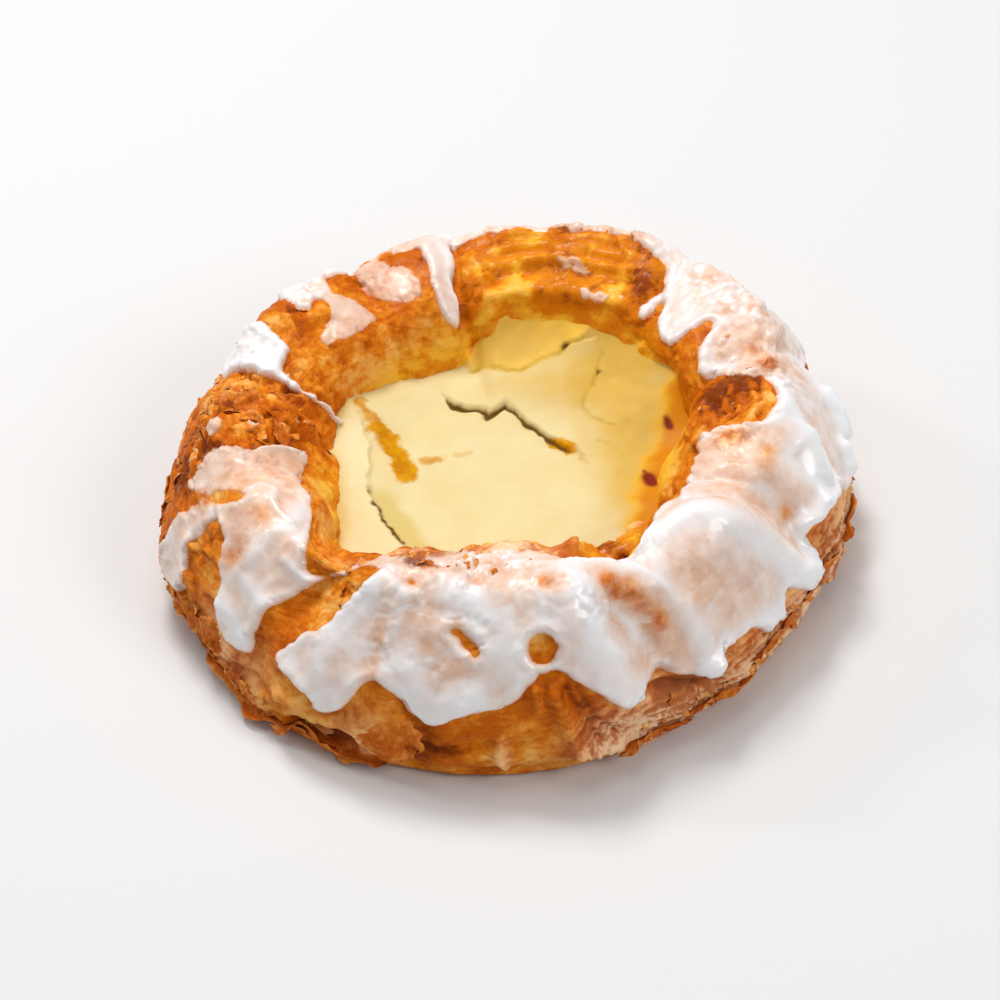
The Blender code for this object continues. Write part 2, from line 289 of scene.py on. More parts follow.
class Sheet:
    """The dough's plain surface as a fine grid, rows along the cross-section and columns round the ring."""

    def __init__(self, columns, places):
        self.headings = np.arange(columns) * 360 / columns
        self.places = places
        radius, height, relief = cross_sections(self.headings, places)
        angles = np.radians(self.headings)
        plain = np.stack([radius * np.cos(angles), radius * np.sin(angles), height], axis=2)
        shifts = np.linspace(-CREASE_SOFTENING, CREASE_SOFTENING, 5)
        push = np.mean([fold_relief(self.headings + shift, places) for shift in shifts], axis=0) * relief
        points = plain + outward(plain) * push[:, :, None]
        points[:, :, 2] = np.maximum(points[:, :, 2], 0)
        self.points = points * FORM_SCALE + FORM_SHIFT
        self.normals = outward(self.points)
        self.run = np.interp(places, RUN_PLACES, RUN_LENGTHS)  # millimetres along the cross-section
        self.arc = np.interp(places, RUN_PLACES, RUN_ARCS)  # millimetres for each degree of heading

    def ring_space(self, stretch=1.0, slant=0.0):
        """Coordinates for patterns, in millimetres, with patterns stretched that much round the ring."""
        turn = np.radians(self.headings)[None, :] + slant * self.run[:, None] / RING_RADIUS
        radius = RING_RADIUS / stretch
        run = np.broadcast_to(self.run[:, None], turn.shape)
        return np.stack([radius * np.cos(turn), radius * np.sin(turn), run], axis=2)

    def patches(self, spots):
        """The sum of soft oval patches."""
        total = np.zeros(self.points.shape[:2])
        for spot in spots:
            across = gap_between(self.headings, spot.heading)[None, :] / spot.across
            down = (self.places[:, None] - spot.place) / spot.along
            total += spot.amount * np.exp(-(across**2) - down**2)
        return total

    def band(self, low, high, soft=0.4):
        """1 between two places of the cross-section and 0 outside them."""
        places = self.places[:, None] * np.ones(len(self.headings))
        return ease(places, low - soft, low + soft) * (1 - ease(places, high - soft, high + soft))

    def read(self, grid, headings, places):
        """The value of a grid of vectors at any headings and places."""
        column = np.mod(headings, 360) / 360 * len(self.headings)
        row = np.interp(places, self.places, np.arange(len(self.places)))
        left = column.astype(int) % len(self.headings)
        top = np.minimum(row.astype(int), len(self.places) - 2)
        right = (left + 1) % len(self.headings)
        x = (column - np.floor(column))[..., None]
        y = (row - top)[..., None]
        upper = grid[top, left] * (1 - x) + grid[top, right] * x
        lower = grid[top + 1, left] * (1 - x) + grid[top + 1, right] * x
        return upper * (1 - y) + lower * y


FORM_SCALE = np.ones(3)
FORM_SHIFT = np.zeros(3)
RUN_PLACES = np.linspace(0, len(STATIONS) - 1, 57)
RUN_LENGTHS = RUN_PLACES * 1.0
RUN_ARCS = RUN_PLACES * 1.0
plain_form = Sheet(180, RUN_PLACES)
form_low = plain_form.points.min(axis=(0, 1))
form_high = plain_form.points.max(axis=(0, 1))
dough_low, dough_high = (np.array(corner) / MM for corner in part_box("dough"))
FORM_SCALE = (dough_high - dough_low) / (form_high - form_low)
FORM_SHIFT = dough_low - form_low * FORM_SCALE
row_steps = np.linalg.norm(np.diff(plain_form.points, axis=0), axis=2).mean(axis=1)
RUN_LENGTHS = np.concatenate([[0], np.cumsum(row_steps)])
RUN_ARCS = np.radians(np.linalg.norm(plain_form.points[:, :, :2], axis=2).mean(axis=1))


def line_gap(sheet, line):
    """The distance from each point of the sheet to a line of headings and places, in millimetres."""
    middle = line[0][0]
    across = gap_between(sheet.headings, middle)[None, :] * sheet.arc[:, None]
    up = sheet.run[:, None]
    knots = np.array(line)
    x = gap_between(knots[:, 0], middle) * np.interp(knots[:, 1], RUN_PLACES, RUN_ARCS)
    y = np.interp(knots[:, 1], RUN_PLACES, RUN_LENGTHS)
    nearest = np.full(sheet.points.shape[:2], 99.0)
    for x0, y0, x1, y1 in zip(x, y, x[1:], y[1:]):
        share = ((across - x0) * (x1 - x0) + (up - y0) * (y1 - y0)) / ((x1 - x0) ** 2 + (y1 - y0) ** 2)
        share = np.clip(share, 0, 1)
        nearest = np.minimum(nearest, np.hypot(across - x0 - share * (x1 - x0), up - y0 - share * (y1 - y0)))
    return nearest


def raised(sheet, ridges):
    """How high the ridges stand in all, less what the grooves take away."""
    return sum(r.height * np.exp(-((line_gap(sheet, r.line) / r.width) ** 2)) for r in ridges)


# --- Crust ----------------------------------------------------------------------------------------------

Spot = namedtuple("Spot", "heading place across along amount")
SMOOTH_SPOTS = (  # egg-washed skin with no loose leaves
    Spot(258, 4.0, 16, 0.8, 1.0),
    Spot(274, 4.4, 7, 0.8, 0.8),
    Spot(8, 9.6, 26, 1.3, 1.0),
    Spot(228, 5.6, 7, 0.9, 0.6),
    Spot(300, 8.2, 8, 0.9, 0.8),
    Spot(130, 9.0, 30, 1.2, 0.95),
    Spot(198, 9.2, 18, 1.1, 0.8),
    Spot(215, 3.4, 12, 0.6, 0.6),
    Spot(75, 8.6, 30, 0.5, 0.6),
    Spot(56, 9.4, 20, 0.8, 1.0),
)
TORN_SPOTS = (  # where the layers of dough show on edge
    Spot(286, 3.9, 5, 0.7, 0.9),
    Spot(297, 3.7, 12, 1.0, 1.0),
    Spot(318, 3.7, 16, 0.8, 1.0),
    Spot(345, 3.9, 18, 0.8, 0.9),
    Spot(15, 3.9, 16, 0.9, 0.8),
    Spot(228, 2.9, 14, 0.4, 0.9),
    Spot(200, 3.3, 16, 0.5, 0.5),
    Spot(100, 3.6, 70, 0.8, 0.8),
)
CRUMBLY_SPOTS = (  # broken into small crisp bits
    Spot(178, 6.9, 14, 1.3, 1.0),
    Spot(186, 5.6, 9, 1.0, 0.6),
    Spot(8, 7.5, 13, 0.7, 1.0),
    Spot(28, 6.4, 9, 1.0, 0.7),
    Spot(57, 7.4, 6, 0.5, 0.8),
    Spot(238, 6.1, 3, 0.6, 0.6),
    Spot(262, 7.7, 18, 0.3, 1.0),
    Spot(303, 8.5, 12, 0.14, 1.0),
    Spot(350, 7.3, 7, 0.5, 0.7),
    Spot(142, 7.1, 9, 0.5, 0.8),
    Spot(168, 8.2, 10, 0.6, 0.4),
)
BAKED_AND_SHADED_SPOTS = (  # darker than the rest: browned spots, and painted shade in a cavity, a gap, a hollow and a crease
    Spot(256, 3.5, 5, 0.6, 0.35),
    Spot(265, 3.7, 4, 0.6, -0.1),
    Spot(276, 4.2, 5, 0.7, -0.2),
    # painted shade in the gap under the icing's front-right edge
    Spot(302, 4.35, 6, 0.16, 1.0),
    Spot(295, 6.2, 6, 0.5, 0.05),
    Spot(174.5, 6.85, 3, 0.3, 0.5),
    Spot(183, 7.2, 5, 0.4, -0.35),
    Spot(201.5, 6.15, 5, 0.35, -0.4),
    Spot(209.5, 8.6, 3.5, 0.22, 0.5),
    # painted shade in the cavity beside the front flap
    Spot(240, 3.3, 5, 0.3, 1.3),
    Spot(8, 7.7, 12, 0.5, 0.4),
    Spot(247.5, 7.35, 4, 0.22, 1.0),
    Spot(182, 6.2, 12, 1.0, 0.25),
    Spot(181, 5.2, 10, 0.8, 0.30),
    Spot(24, 9.7, 3, 0.16, 1.2),
    Spot(359, 10.0, 4, 0.3, 1.3),
    Spot(130, 9.0, 24, 0.9, -0.2),
    Spot(205, 8.9, 14, 0.8, -0.4),
    Spot(228, 5.0, 9, 0.5, 0.25),
    Spot(182, 7.2, 14, 0.8, 0.12),
    # these two: painted shade in the hollow at the front right of the well, over its real amber
    Spot(302, 7.85, 10, 0.3, 0.1),
    Spot(299, 8.2, 6, 0.5, 0.45),
    Spot(4, 9.95, 26, 0.45, -0.2),
    Spot(0, 9.1, 20, 0.7, -0.25),
    Spot(271, 8.1, 14, 0.3, -0.25),
    Spot(251, 7.65, 3, 0.18, 0.9),
    Spot(92, 7.9, 3.5, 0.35, 0.5),
    # painted shade in the crease on the back inner wall
    Spot(100, 9.5, 2, 0.3, 0.5),
    Spot(56, 7.6, 3, 0.25, 0.6),
)
PALE_SPOTS = (  # where torn layers show their inside
    Spot(296, 3.6, 10, 0.9, 0.95),
    Spot(314, 3.5, 14, 0.8, 0.9),
    Spot(335, 3.8, 14, 0.7, 0.8),
    Spot(355, 4.0, 14, 0.9, 0.75),
    Spot(214, 4.2, 3, 0.5, 0.6),
    Spot(246, 3.6, 5, 0.7, 0.5),
    Spot(269, 3.6, 1.2, 0.5, 0.5),
    Spot(286, 3.8, 5, 0.6, 0.85),
    Spot(218, 3.8, 10, 0.9, 0.35),
    Spot(248, 7.6, 14, 0.25, 0.5),
    Spot(265, 7.75, 16, 0.22, 0.8),
    Spot(272, 8.0, 12, 0.2, 0.7),
    Spot(303, 8.5, 12, 0.10, 0.8),
)
AMBER_SPOTS = (  # soaked by the custard and caramelised
    Spot(5, 9.8, 28, 1.2, 1.0),
    Spot(302, 7.9, 12, 0.7, 1.3),
    Spot(120, 9.8, 30, 0.7, 0.8),
    Spot(200, 9.4, 22, 0.8, 0.9),
    Spot(70, 8.9, 44, 0.9, 1.0),
    Spot(78, 7.5, 30, 0.55, 0.8),
    Spot(269, 8.3, 13, 0.18, 1.3),
)


Ridge = namedtuple("Ridge", "height width line")
LAPS = (  # edges of folded dough that stand out, and the grooves beside them
    Ridge(-1.3, 3.0, ((285, 7.7), (291, 7.6), (297, 7.6))),
    Ridge(1.7, 2.0, ((290.5, 6.8), (299, 6.2), (303, 5.65), (306.5, 5.05), (308.5, 4.45))),
    Ridge(-2.2, 2.4, ((291.5, 6.1), (294.5, 5.7), (297, 5.2), (299, 4.7))),
    Ridge(1.2, 2.4, ((280, 6.6), (282, 5.7), (286, 5.2), (289.5, 4.75))),
    Ridge(0.8, 2.4, ((307, 7.2), (311, 7.35), (316, 7.4))),
    Ridge(1.4, 2.0, ((316, 7.4), (320, 7.35), (324.5, 6.9), (331, 5.85), (335, 5.0), (336, 4.5))),
    Ridge(-1.2, 1.8, ((327, 7.75), (330.5, 7.3), (335.5, 6.2), (339, 5.3), (340, 4.9))),
    Ridge(1.0, 1.8, ((341, 7.6), (342.5, 7.15), (345.5, 6.1), (347.5, 5.45), (346, 5.1))),
    Ridge(1.2, 1.8, ((356, 6.3), (354, 5.5), (352, 5.15))),
    Ridge(-2.6, 4.5, ((14, 9.5), (24, 9.5), (33, 9.3))),
    Ridge(-2.2, 0.9, ((294.5, 4.55), (302, 4.3), (309.5, 3.95))),
    Ridge(-0.8, 1.3, ((252, 4.9), (256.5, 4.3), (257.5, 3.6), (254.5, 2.8))),
    Ridge(-2.0, 1.6, ((293, 7.7), (299, 7.65), (305, 7.65), (310, 7.85))),
    Ridge(1.6, 1.2, ((288, 8.0), (295, 8.3), (303, 8.5), (311, 8.55), (316, 8.7))),
    Ridge(1.7, 1.6, ((259, 8.3), (264, 8.2), (270, 8.12), (275, 8.15), (278, 8.25))),
    Ridge(-3.0, 1.8, ((234, 3.15), (238.5, 3.35), (243, 3.45))),
    Ridge(1.0, 0.7, ((274.5, 5.1), (275, 4.7))),
    Ridge(1.5, 1.1, ((277.5, 5.0), (279.5, 4.4), (281, 3.8))),
    Ridge(-1.8, 0.8, ((279.5, 5.0), (283, 4.4), (285, 3.85))),
    Ridge(-1.5, 0.7, ((281.5, 5.0), (285, 4.3), (288, 3.9))),
    Ridge(1.5, 0.8, ((281, 3.9), (284, 3.65), (289, 3.5))),
    Ridge(1.1, 0.8, ((268.5, 4.2), (268.3, 3.7), (269.5, 3.2))),
    Ridge(-1.2, 1.0, ((254, 3.9), (258, 3.7), (264, 4.0), (272, 4.1))),
    Ridge(-0.9, 0.9, ((218, 3.6), (224, 3.9), (230, 3.7), (236, 3.9), (243, 4.3))),
    Ridge(0.9, 1.4, ((219, 3.2), (226, 3.3), (232, 4.1), (240, 3.8))),
    Ridge(-0.9, 1.0, ((204, 4.3), (208, 3.6), (210, 2.9))),
    Ridge(0.8, 1.5, ((176, 7.9), (172, 8.6), (170, 9.3))),
    Ridge(-1.0, 0.9, ((181, 8.1), (176, 8.8), (173, 9.4))),
    Ridge(-1.5, 1.3, ((105, 7.7), (103.5, 8.6), (101.5, 9.5))),
    Ridge(-0.7, 0.5, ((60, 7.45), (75, 7.5), (90, 7.45))),
    Ridge(0.7, 0.6, ((64, 7.6), (76, 7.62), (86, 7.6))),
    Ridge(-0.6, 0.5, ((66, 7.25), (80, 7.2), (96, 7.3))),
    Ridge(1.0, 1.6, ((97, 7.9), (96, 8.6), (95, 9.2))),
    Ridge(-0.8, 1.4, ((60, 7.7), (70, 7.75), (82, 7.75), (92, 7.8))),
    Ridge(0.9, 1.2, ((58, 8.15), (70, 8.2), (84, 8.2), (95, 8.25))),
)


def leafy_relief(sheet):
    """How far the baked leaves, blisters and torn layers stand out of the plain form, in millimetres, and
    a number for each leaf."""
    plain = sheet.ring_space()
    smooth = np.clip(sheet.patches(SMOOTH_SPOTS), 0, 1)
    torn = np.clip(sheet.patches(TORN_SPOTS), 0, 1)
    crumbly = np.clip(sheet.patches(CRUMBLY_SPOTS), 0, 1)
    ragged = np.stack([lumps(plain, 2.2, seed) for seed in (11, 12, 13)], axis=2)
    _, edge, level, lean = cells_of(sheet.ring_space(stretch=2.2, slant=0.25) + ragged * 0.8, 4.4, 21)
    leaves = level * 0.5 + lean * 0.8 - 0.2 * np.exp(-((edge / 0.3) ** 2))
    _, fine_edge, fine_level, fine_lean = cells_of(sheet.ring_space(1.6) + ragged * 0.5, 1.8, 31)
    fine = fine_level + fine_lean * 1.2 - 0.5 * np.exp(-((fine_edge / 0.2) ** 2))
    swell = 0.5 * layered_lumps(plain, 8.0, 41, 2)
    blister, _, size, _ = cells_of(plain, 5.5, 51)
    blisters = 0.55 * size * np.clip(1 - (blister / (1.0 + 1.4 * size)) ** 2, 0, 1)
    fan = 4.0 * np.exp(-(np.clip(gap_between(sheet.headings, 279), 0, 90) / 9))
    wave = sheet.run[:, None] / 1.7 + fan + 1.3 * lumps(sheet.ring_space(1.5), 5.0, 61)
    saw = np.mod(wave, 1)
    layers = 0.9 * saw**1.5 + 0.6 * layered_lumps(sheet.ring_space(1.5), 2.4, 71, 3) + 0.5 * level
    flaky = np.clip(1 - 0.9 * smooth - 0.6 * torn - 0.5 * crumbly, 0.08, 1)
    shards = 1 - np.abs(layered_lumps(sheet.ring_space(1.4, 0.5), 2.0, 65, 3)) * 2
    relief = swell + leaves * flaky + fine * (0.2 * flaky + 0.35 * crumbly) + 0.55 * shards * crumbly
    relief += blisters * (1 - torn) * (1 - crumbly) * 0.7 + layers * torn
    tone = (level * 0.6 + fine_level * 0.4) * (1 - crumbly - torn).clip(0, 1)
    tone += crumbly * (0.9 - fine * 0.75) + torn * (1.15 - saw * 1.1)
    return sheet.band(2.6, 10.5) * relief, tone


def crust_relief(sheet):
    """The crust's relief, pressed flatter where icing lies thickly over it, its tone and the icing on it."""
    relief, tone = leafy_relief(sheet)
    pour = icing_pour(sheet)
    hidden = ease(pour.depth, 0.5, 2.5) * (1 - pour.thin) * (1 - np.clip(sheet.patches(ROUGH_SPOTS), 0, 1))
    folded = sheet.band(2.6, 10.5) * raised(sheet, LAPS)
    return relief * (1 - 0.7 * hidden) + folded, tone, pour


def crust_fields(sheet, relief, tone):
    """What the crust's colours need to know at each point."""
    # painted shade: hollows of the relief, below its blurred form, are made darker on top of the real browning
    bake_and_shade = 0.38 + 0.26 * layered_lumps(sheet.ring_space(), 9, 81) + 0.2 * (evened(relief, 20) - relief)
    return {
        "bake_and_shade": bake_and_shade + sheet.patches(BAKED_AND_SHADED_SPOTS),
        "pale": np.clip(sheet.patches(PALE_SPOTS), 0, 1),
        "amber": np.clip(sheet.patches(AMBER_SPOTS), 0, 1),
        "tone": tone,
        "layers": sheet.ring_space(2.6, 0.12) * MM,
    }


CRUST_STEPS = (1, 2, 7, 12, 20, 21, 18, 21, 17, 11, 4, 2, 1, 1)
CRUST_COLUMNS = 680

# --- Icing ----------------------------------------------------------------------------------------------

Pool = namedtuple("Pool", "load fray outline")  # its thickness, raggedness and outline (heading, place)
POOLS = (
    # From the front round the right to the back, poured over the rim
    Pool(0.6, 0.25, (
        (227, 4.65), (229, 4.55), (232.5, 4.5), (234.5, 4.48), (236, 4.35), (237.5, 4.2), (239.5, 4.08),
        (241.5, 4.2), (243, 4.48), (245, 4.85), (247, 5.0), (249, 4.95), (251, 4.85), (252.5, 4.7),
        (254.5, 4.52), (257, 4.4), (260, 4.5), (262, 4.63), (265.5, 4.7), (268.5, 4.75), (271, 4.85),
        (272.5, 5.0), (274, 5.2), (276, 5.32), (278.5, 5.3), (282, 5.1), (285, 4.85), (287.5, 4.6),
        (290, 4.45), (292.5, 4.45), (294, 4.58), (295.5, 4.75), (298, 4.75), (302.5, 4.5), (305, 4.38),
        (307.5, 4.28), (310, 4.55), (312, 4.6), (315.5, 4.6), (318.5, 4.6), (320.5, 4.45), (322.5, 4.18),
        (325, 4.25), (327.5, 4.18), (328.5, 4.5), (330.5, 4.65), (333.5, 4.4), (338, 4.1), (341, 4.22),
        (342.5, 4.6), (343, 4.95), (344, 5.05), (347, 4.95), (351, 5.0), (354, 5.0), (357, 4.7), (360, 4.4),
        (365, 4.2), (370, 4.25), (375, 4.5), (377, 4.95), (379, 5.0), (382, 5.3), (386, 5.2), (389, 5.1),
        (393, 5.6), (400, 6.0), (405, 5.9), (409, 6.4), (416, 6.6), (422, 6.75), (422, 7.1), (418, 7.2),
        (414, 7.3), (411.5, 7.6), (413.5, 8.0), (412.5, 8.3), (410.5, 8.25), (409.8, 7.75), (408.5, 7.75),
        (407, 8.1), (403.5, 8.32), (400, 8.42), (397, 8.35), (395, 8.0), (394.6, 7.65), (393, 7.55), (390, 7.8), (388, 8.0),
        (385, 8.1), (383.5, 8.2), (381, 8.05), (378.5, 7.75), (374, 7.5), (371, 7.1), (366.5, 6.9),
        (361.5, 6.9), (357, 7.05), (355.5, 7.35), (356, 7.8), (355, 8.05), (350.5, 8.2), (342, 8.2),
        (338.5, 8.4), (329, 8.1), (320, 8.0), (314, 7.85), (311, 7.65), (307, 7.5), (303, 7.35), (298, 7.3),
        (291.5, 7.3), (282.5, 7.42), (275.5, 7.6), (271.5, 7.5), (268, 7.35), (264, 7.1), (261.5, 7.25),
        (259, 7.5), (255.5, 7.6), (253.5, 7.35), (252, 7.1), (250.5, 6.75), (247.5, 6.9), (243.5, 6.95),
        (241.5, 6.75), (240, 6.45), (238.5, 6.05), (236.5, 5.8), (235, 5.55), (234.5, 5.35), (232, 5.35),
        (230.5, 5.15), (229.5, 4.9),
    )),
    # A thin wash over the front lip
    Pool(0.12, 0.6, (
        (243.5, 7.05), (241, 7.1), (236.5, 6.95), (232, 6.75), (229.5, 6.45), (230.5, 7.0), (234, 7.5), (237, 7.8),
        (241, 7.5), (245, 7.5), (249, 7.45), (252, 7.8), (257, 7.95), (262, 8.0), (268, 7.9), (274, 7.95),
        (280, 7.85), (284, 7.7), (284, 7.0), (270, 6.9), (255, 6.9), (247, 7.0),
    )),
    # The left: a thin film above, and the thicker part with the tongue that runs down outside it
    Pool(0.2, 0.3, (
        (187.5, 6.6), (190.5, 7.3), (187, 8.2), (184.5, 8.6), (188, 8.62), (191.5, 8.45), (197.5, 8.2), (203, 8.0),
        (208.5, 7.95), (207, 7.2), (204, 6.8), (202, 6.7), (198, 6.2), (196, 5.9), (190, 5.5), (189, 6.1),
    )),
    Pool(0.5, 0.3, (
        (196.5, 5.75), (199.5, 6.0), (204, 6.55), (206, 7.0), (203.5, 7.4), (203, 8.0), (208.5, 7.98), (214, 7.95),
        (219.5, 7.6), (222.5, 7.05), (224, 6.55), (225, 6.3), (228, 6.35), (229.5, 6.4), (228, 6.1), (226.5, 5.9),
        (225, 5.6), (222.3, 5.3), (222.3, 4.75), (222.8, 4.42), (221.5, 4.3), (216.5, 4.3), (212.8, 4.6),
        (212.5, 5.1), (210, 5.5), (207, 5.9), (204, 6.0), (202, 5.7), (201, 5.1), (203.8, 4.6), (202, 4.1),
        (200, 4.0), (196.5, 4.05), (194.2, 4.55), (194.2, 5.2),
    )),
    # Scraps along the back
    Pool(0.9, 0.5, (
        (152, 5.4), (151, 6.05), (151.5, 6.9), (153.5, 7.2), (155, 7.5), (158, 7.55), (161, 7.6),
        (163, 8.05), (162.5, 8.55), (160.5, 9.2), (158.5, 9.8), (159.8, 9.9), (162.3, 9.3), (164.3, 8.6),
        (165, 8.05), (163.8, 7.5), (163, 7.0), (162.5, 6.3), (159, 5.5),
    )),
    Pool(0.15, 0.4, (
        (130, 7.55), (127.5, 7.9), (131, 8.0), (134.5, 8.05), (142.5, 8.05), (148, 7.95), (147, 7.7),
        (143, 7.68), (140, 7.6), (137, 7.4), (134, 7.35),
    )),
    Pool(0.35, 0.9, ((133, 7.0), (134, 7.3), (139, 7.3), (144, 7.35), (145, 7.05), (140, 6.85))),
    Pool(0.15, 0.4, (
        (122, 6.75), (125.5, 7.0), (126.5, 7.4), (125, 7.68), (118.5, 7.95), (114.5, 7.9), (112.5, 7.6),
        (115, 7.35), (117, 7.25), (119, 7.0), (118, 6.7),
    )),
    Pool(0.7, 0.05, (
        (109, 6.9), (110, 7.2), (109.5, 7.5), (111, 7.8), (111.2, 8.25), (109.3, 8.6), (106.5, 8.85),
        (104.4, 8.75), (103.6, 8.4), (103.8, 7.9), (103.6, 7.5), (103.5, 7.15), (103, 6.85),
    )),
    Pool(0.25, 1.1, (
        (62, 6.75), (75, 6.7), (88, 6.6), (100, 6.6), (112, 6.65), (125, 6.7), (136, 6.7), (136, 6.9),
        (125, 6.9), (112, 6.95), (104, 7.1), (96, 6.95), (88, 7.1), (83, 6.95), (76, 7.1), (70, 7.0), (62, 7.05),
    )),
    Pool(0.1, 0.2, ((80, 7.6), (76, 7.74), (71, 7.8), (67.5, 7.74), (71, 7.64), (76, 7.56))),
    Pool(0.3, 0.5, ((71, 8.12), (68, 8.26), (64, 8.32), (61.5, 8.24), (61, 8.04), (64, 7.98), (68, 8.06))),
    Pool(0.7, 0.2, ((60.5, 7.95), (59.5, 8.1), (57.8, 8.05), (58.2, 7.92))),
    Pool(0.5, 0.3, ((181.8, 7.3), (181.6, 7.6), (183.2, 7.62), (183.4, 7.3))),
    Pool(0.2, 0.4, ((181.5, 6.45), (181, 6.9), (184, 6.9), (184.5, 6.45))),
    # Down the back of the ring
    Pool(1.0, 0.3, ((52, 6.5), (54, 5.9), (57, 5.3), (60, 5.2), (62, 5.6), (63, 6.2), (66, 6.8), (56, 6.9))),
    Pool(1.0, 0.3, ((90, 6.8), (94, 6.2), (97, 5.2), (100, 4.9), (103, 5.2), (103, 6.0), (107, 6.8))),
    Pool(1.0, 0.3, ((126, 6.9), (130, 6.2), (134, 5.6), (137, 5.4), (139, 5.7), (141, 6.3), (145, 7.0))),
)
BARE_POOLS = (  # where the icing has run off
    Pool(1.0, 0.1, ((273.2, 5.65), (273.6, 5.54), (274.6, 5.45), (276, 5.41), (277.4, 5.45), (278.4, 5.54),
                    (278.8, 5.65), (278.4, 5.76), (277.4, 5.85), (276, 5.89), (274.6, 5.85), (273.6, 5.76))),
    Pool(1.0, 0.1, ((258.8, 5.97), (260.0, 5.99), (262.8, 5.84), (265.2, 5.65), (265.4, 5.56), (264.3, 5.53),
                    (261.6, 5.71), (259.2, 5.88))),
)
RIDGES = (  # where it lies thickest
    Ridge(0.7, 2.0, ((305, 7.35), (312.5, 7.3), (319.5, 7.1), (325, 6.45), (330, 5.6), (334, 4.95), (338.5, 4.3))),
    Ridge(0.7, 2.0, ((293, 7.05), (297, 6.9), (301.5, 6.15), (305, 5.6), (306.5, 5.05), (307.5, 4.6))),
    Ridge(0.7, 1.7, ((3.5, 6.8), (358, 6.3), (356, 6.0), (351.5, 5.5), (349.5, 5.05))),
    Ridge(0.4, 1.3, ((271.5, 7.5), (275.5, 7.5), (282.5, 7.3), (289.5, 7.2), (293, 7.1))),
    Ridge(0.7, 2.6, ((283.5, 6.65), (285, 5.65), (287.5, 5.0), (291, 4.65))),
    Ridge(0.4, 2.2, ((244.5, 6.8), (239, 5.75), (237, 5.0), (239.5, 4.5))),
    Ridge(0.5, 2.6, ((256, 7.2), (262, 6.6), (268, 6.1), (270, 5.4))),
    Ridge(0.7, 2.4, ((252, 5.3), (257, 4.7), (264, 4.95))),
    Ridge(2.2, 2.0, ((16, 5.2), (13.5, 4.9), (11.5, 4.65))),
    Ridge(2.0, 1.7, ((7, 4.75), (5, 4.5))),
    Ridge(1.2, 1.6, ((358, 6.0), (354, 5.4))),
    Ridge(0.8, 1.6, ((343, 5.2), (349, 5.15), (356, 5.0))),
    Ridge(0.7, 1.8, ((213.5, 4.9), (217, 4.8), (221, 4.55))),
    Ridge(0.5, 1.6, ((222, 5.35), (215, 5.6), (216, 7.2), (213, 7.6))),
    Ridge(0.5, 0.8, ((204.5, 6.9), (203, 7.2), (206, 7.35), (209, 7.2), (212, 7.15), (215.5, 7.2))),
    Ridge(0.3, 0.6, ((197, 7.4), (194, 7.7))),
    Ridge(0.5, 0.7, ((186.5, 8.45), (189, 7.8), (190, 7.45))),
    Ridge(0.5, 1.0, ((221, 6.3), (225, 6.15), (228, 6.15))),
    Ridge(0.5, 1.5, ((306, 4.5), (322, 4.5), (327, 4.4))),
    Ridge(0.5, 1.5, ((331, 4.8), (340, 4.4), (341, 4.8))),
)
ROUGH_SPOTS = (  # where the crumbs under it stand out
    Spot(28, 6.6, 14, 0.9, 1.0),
    Spot(12, 6.9, 6, 0.4, 1.0),
    Spot(14, 7.0, 7, 0.5, 0.8),
    Spot(45, 7.0, 10, 0.4, 0.9),
    Spot(352, 7.45, 7, 0.35, 1.0),
    Spot(258, 7.5, 20, 0.5, 1.0),
    Spot(250, 6.6, 10, 0.4, 0.5),
    Spot(280, 6.7, 5, 0.3, 0.7),
    Spot(264, 6.0, 8, 0.3, 0.5),
    Spot(257, 5.4, 5, 0.35, 0.5),
    Spot(284, 6.3, 4, 0.5, 0.4),
    Spot(248, 5.6, 3, 0.4, 0.5),
    Spot(292, 6.3, 6, 0.3, 0.7),
    Spot(155, 6.6, 6, 0.8, 0.6),
    Spot(142, 7.1, 7, 0.3, 0.8),
    Spot(80, 6.9, 16, 0.3, 0.6),
)
FILLED_SPOTS = (  # where it has run into the folds and lies even
    Spot(301, 7.3, 6, 0.6, 1.0),
    Spot(303, 6.2, 6, 1.2, 1.0),
    Spot(305, 5.2, 4, 0.6, 0.7),
    Spot(314, 6.0, 7, 1.0, 0.8),
    Spot(264, 5.4, 14, 0.6, 0.4),
)
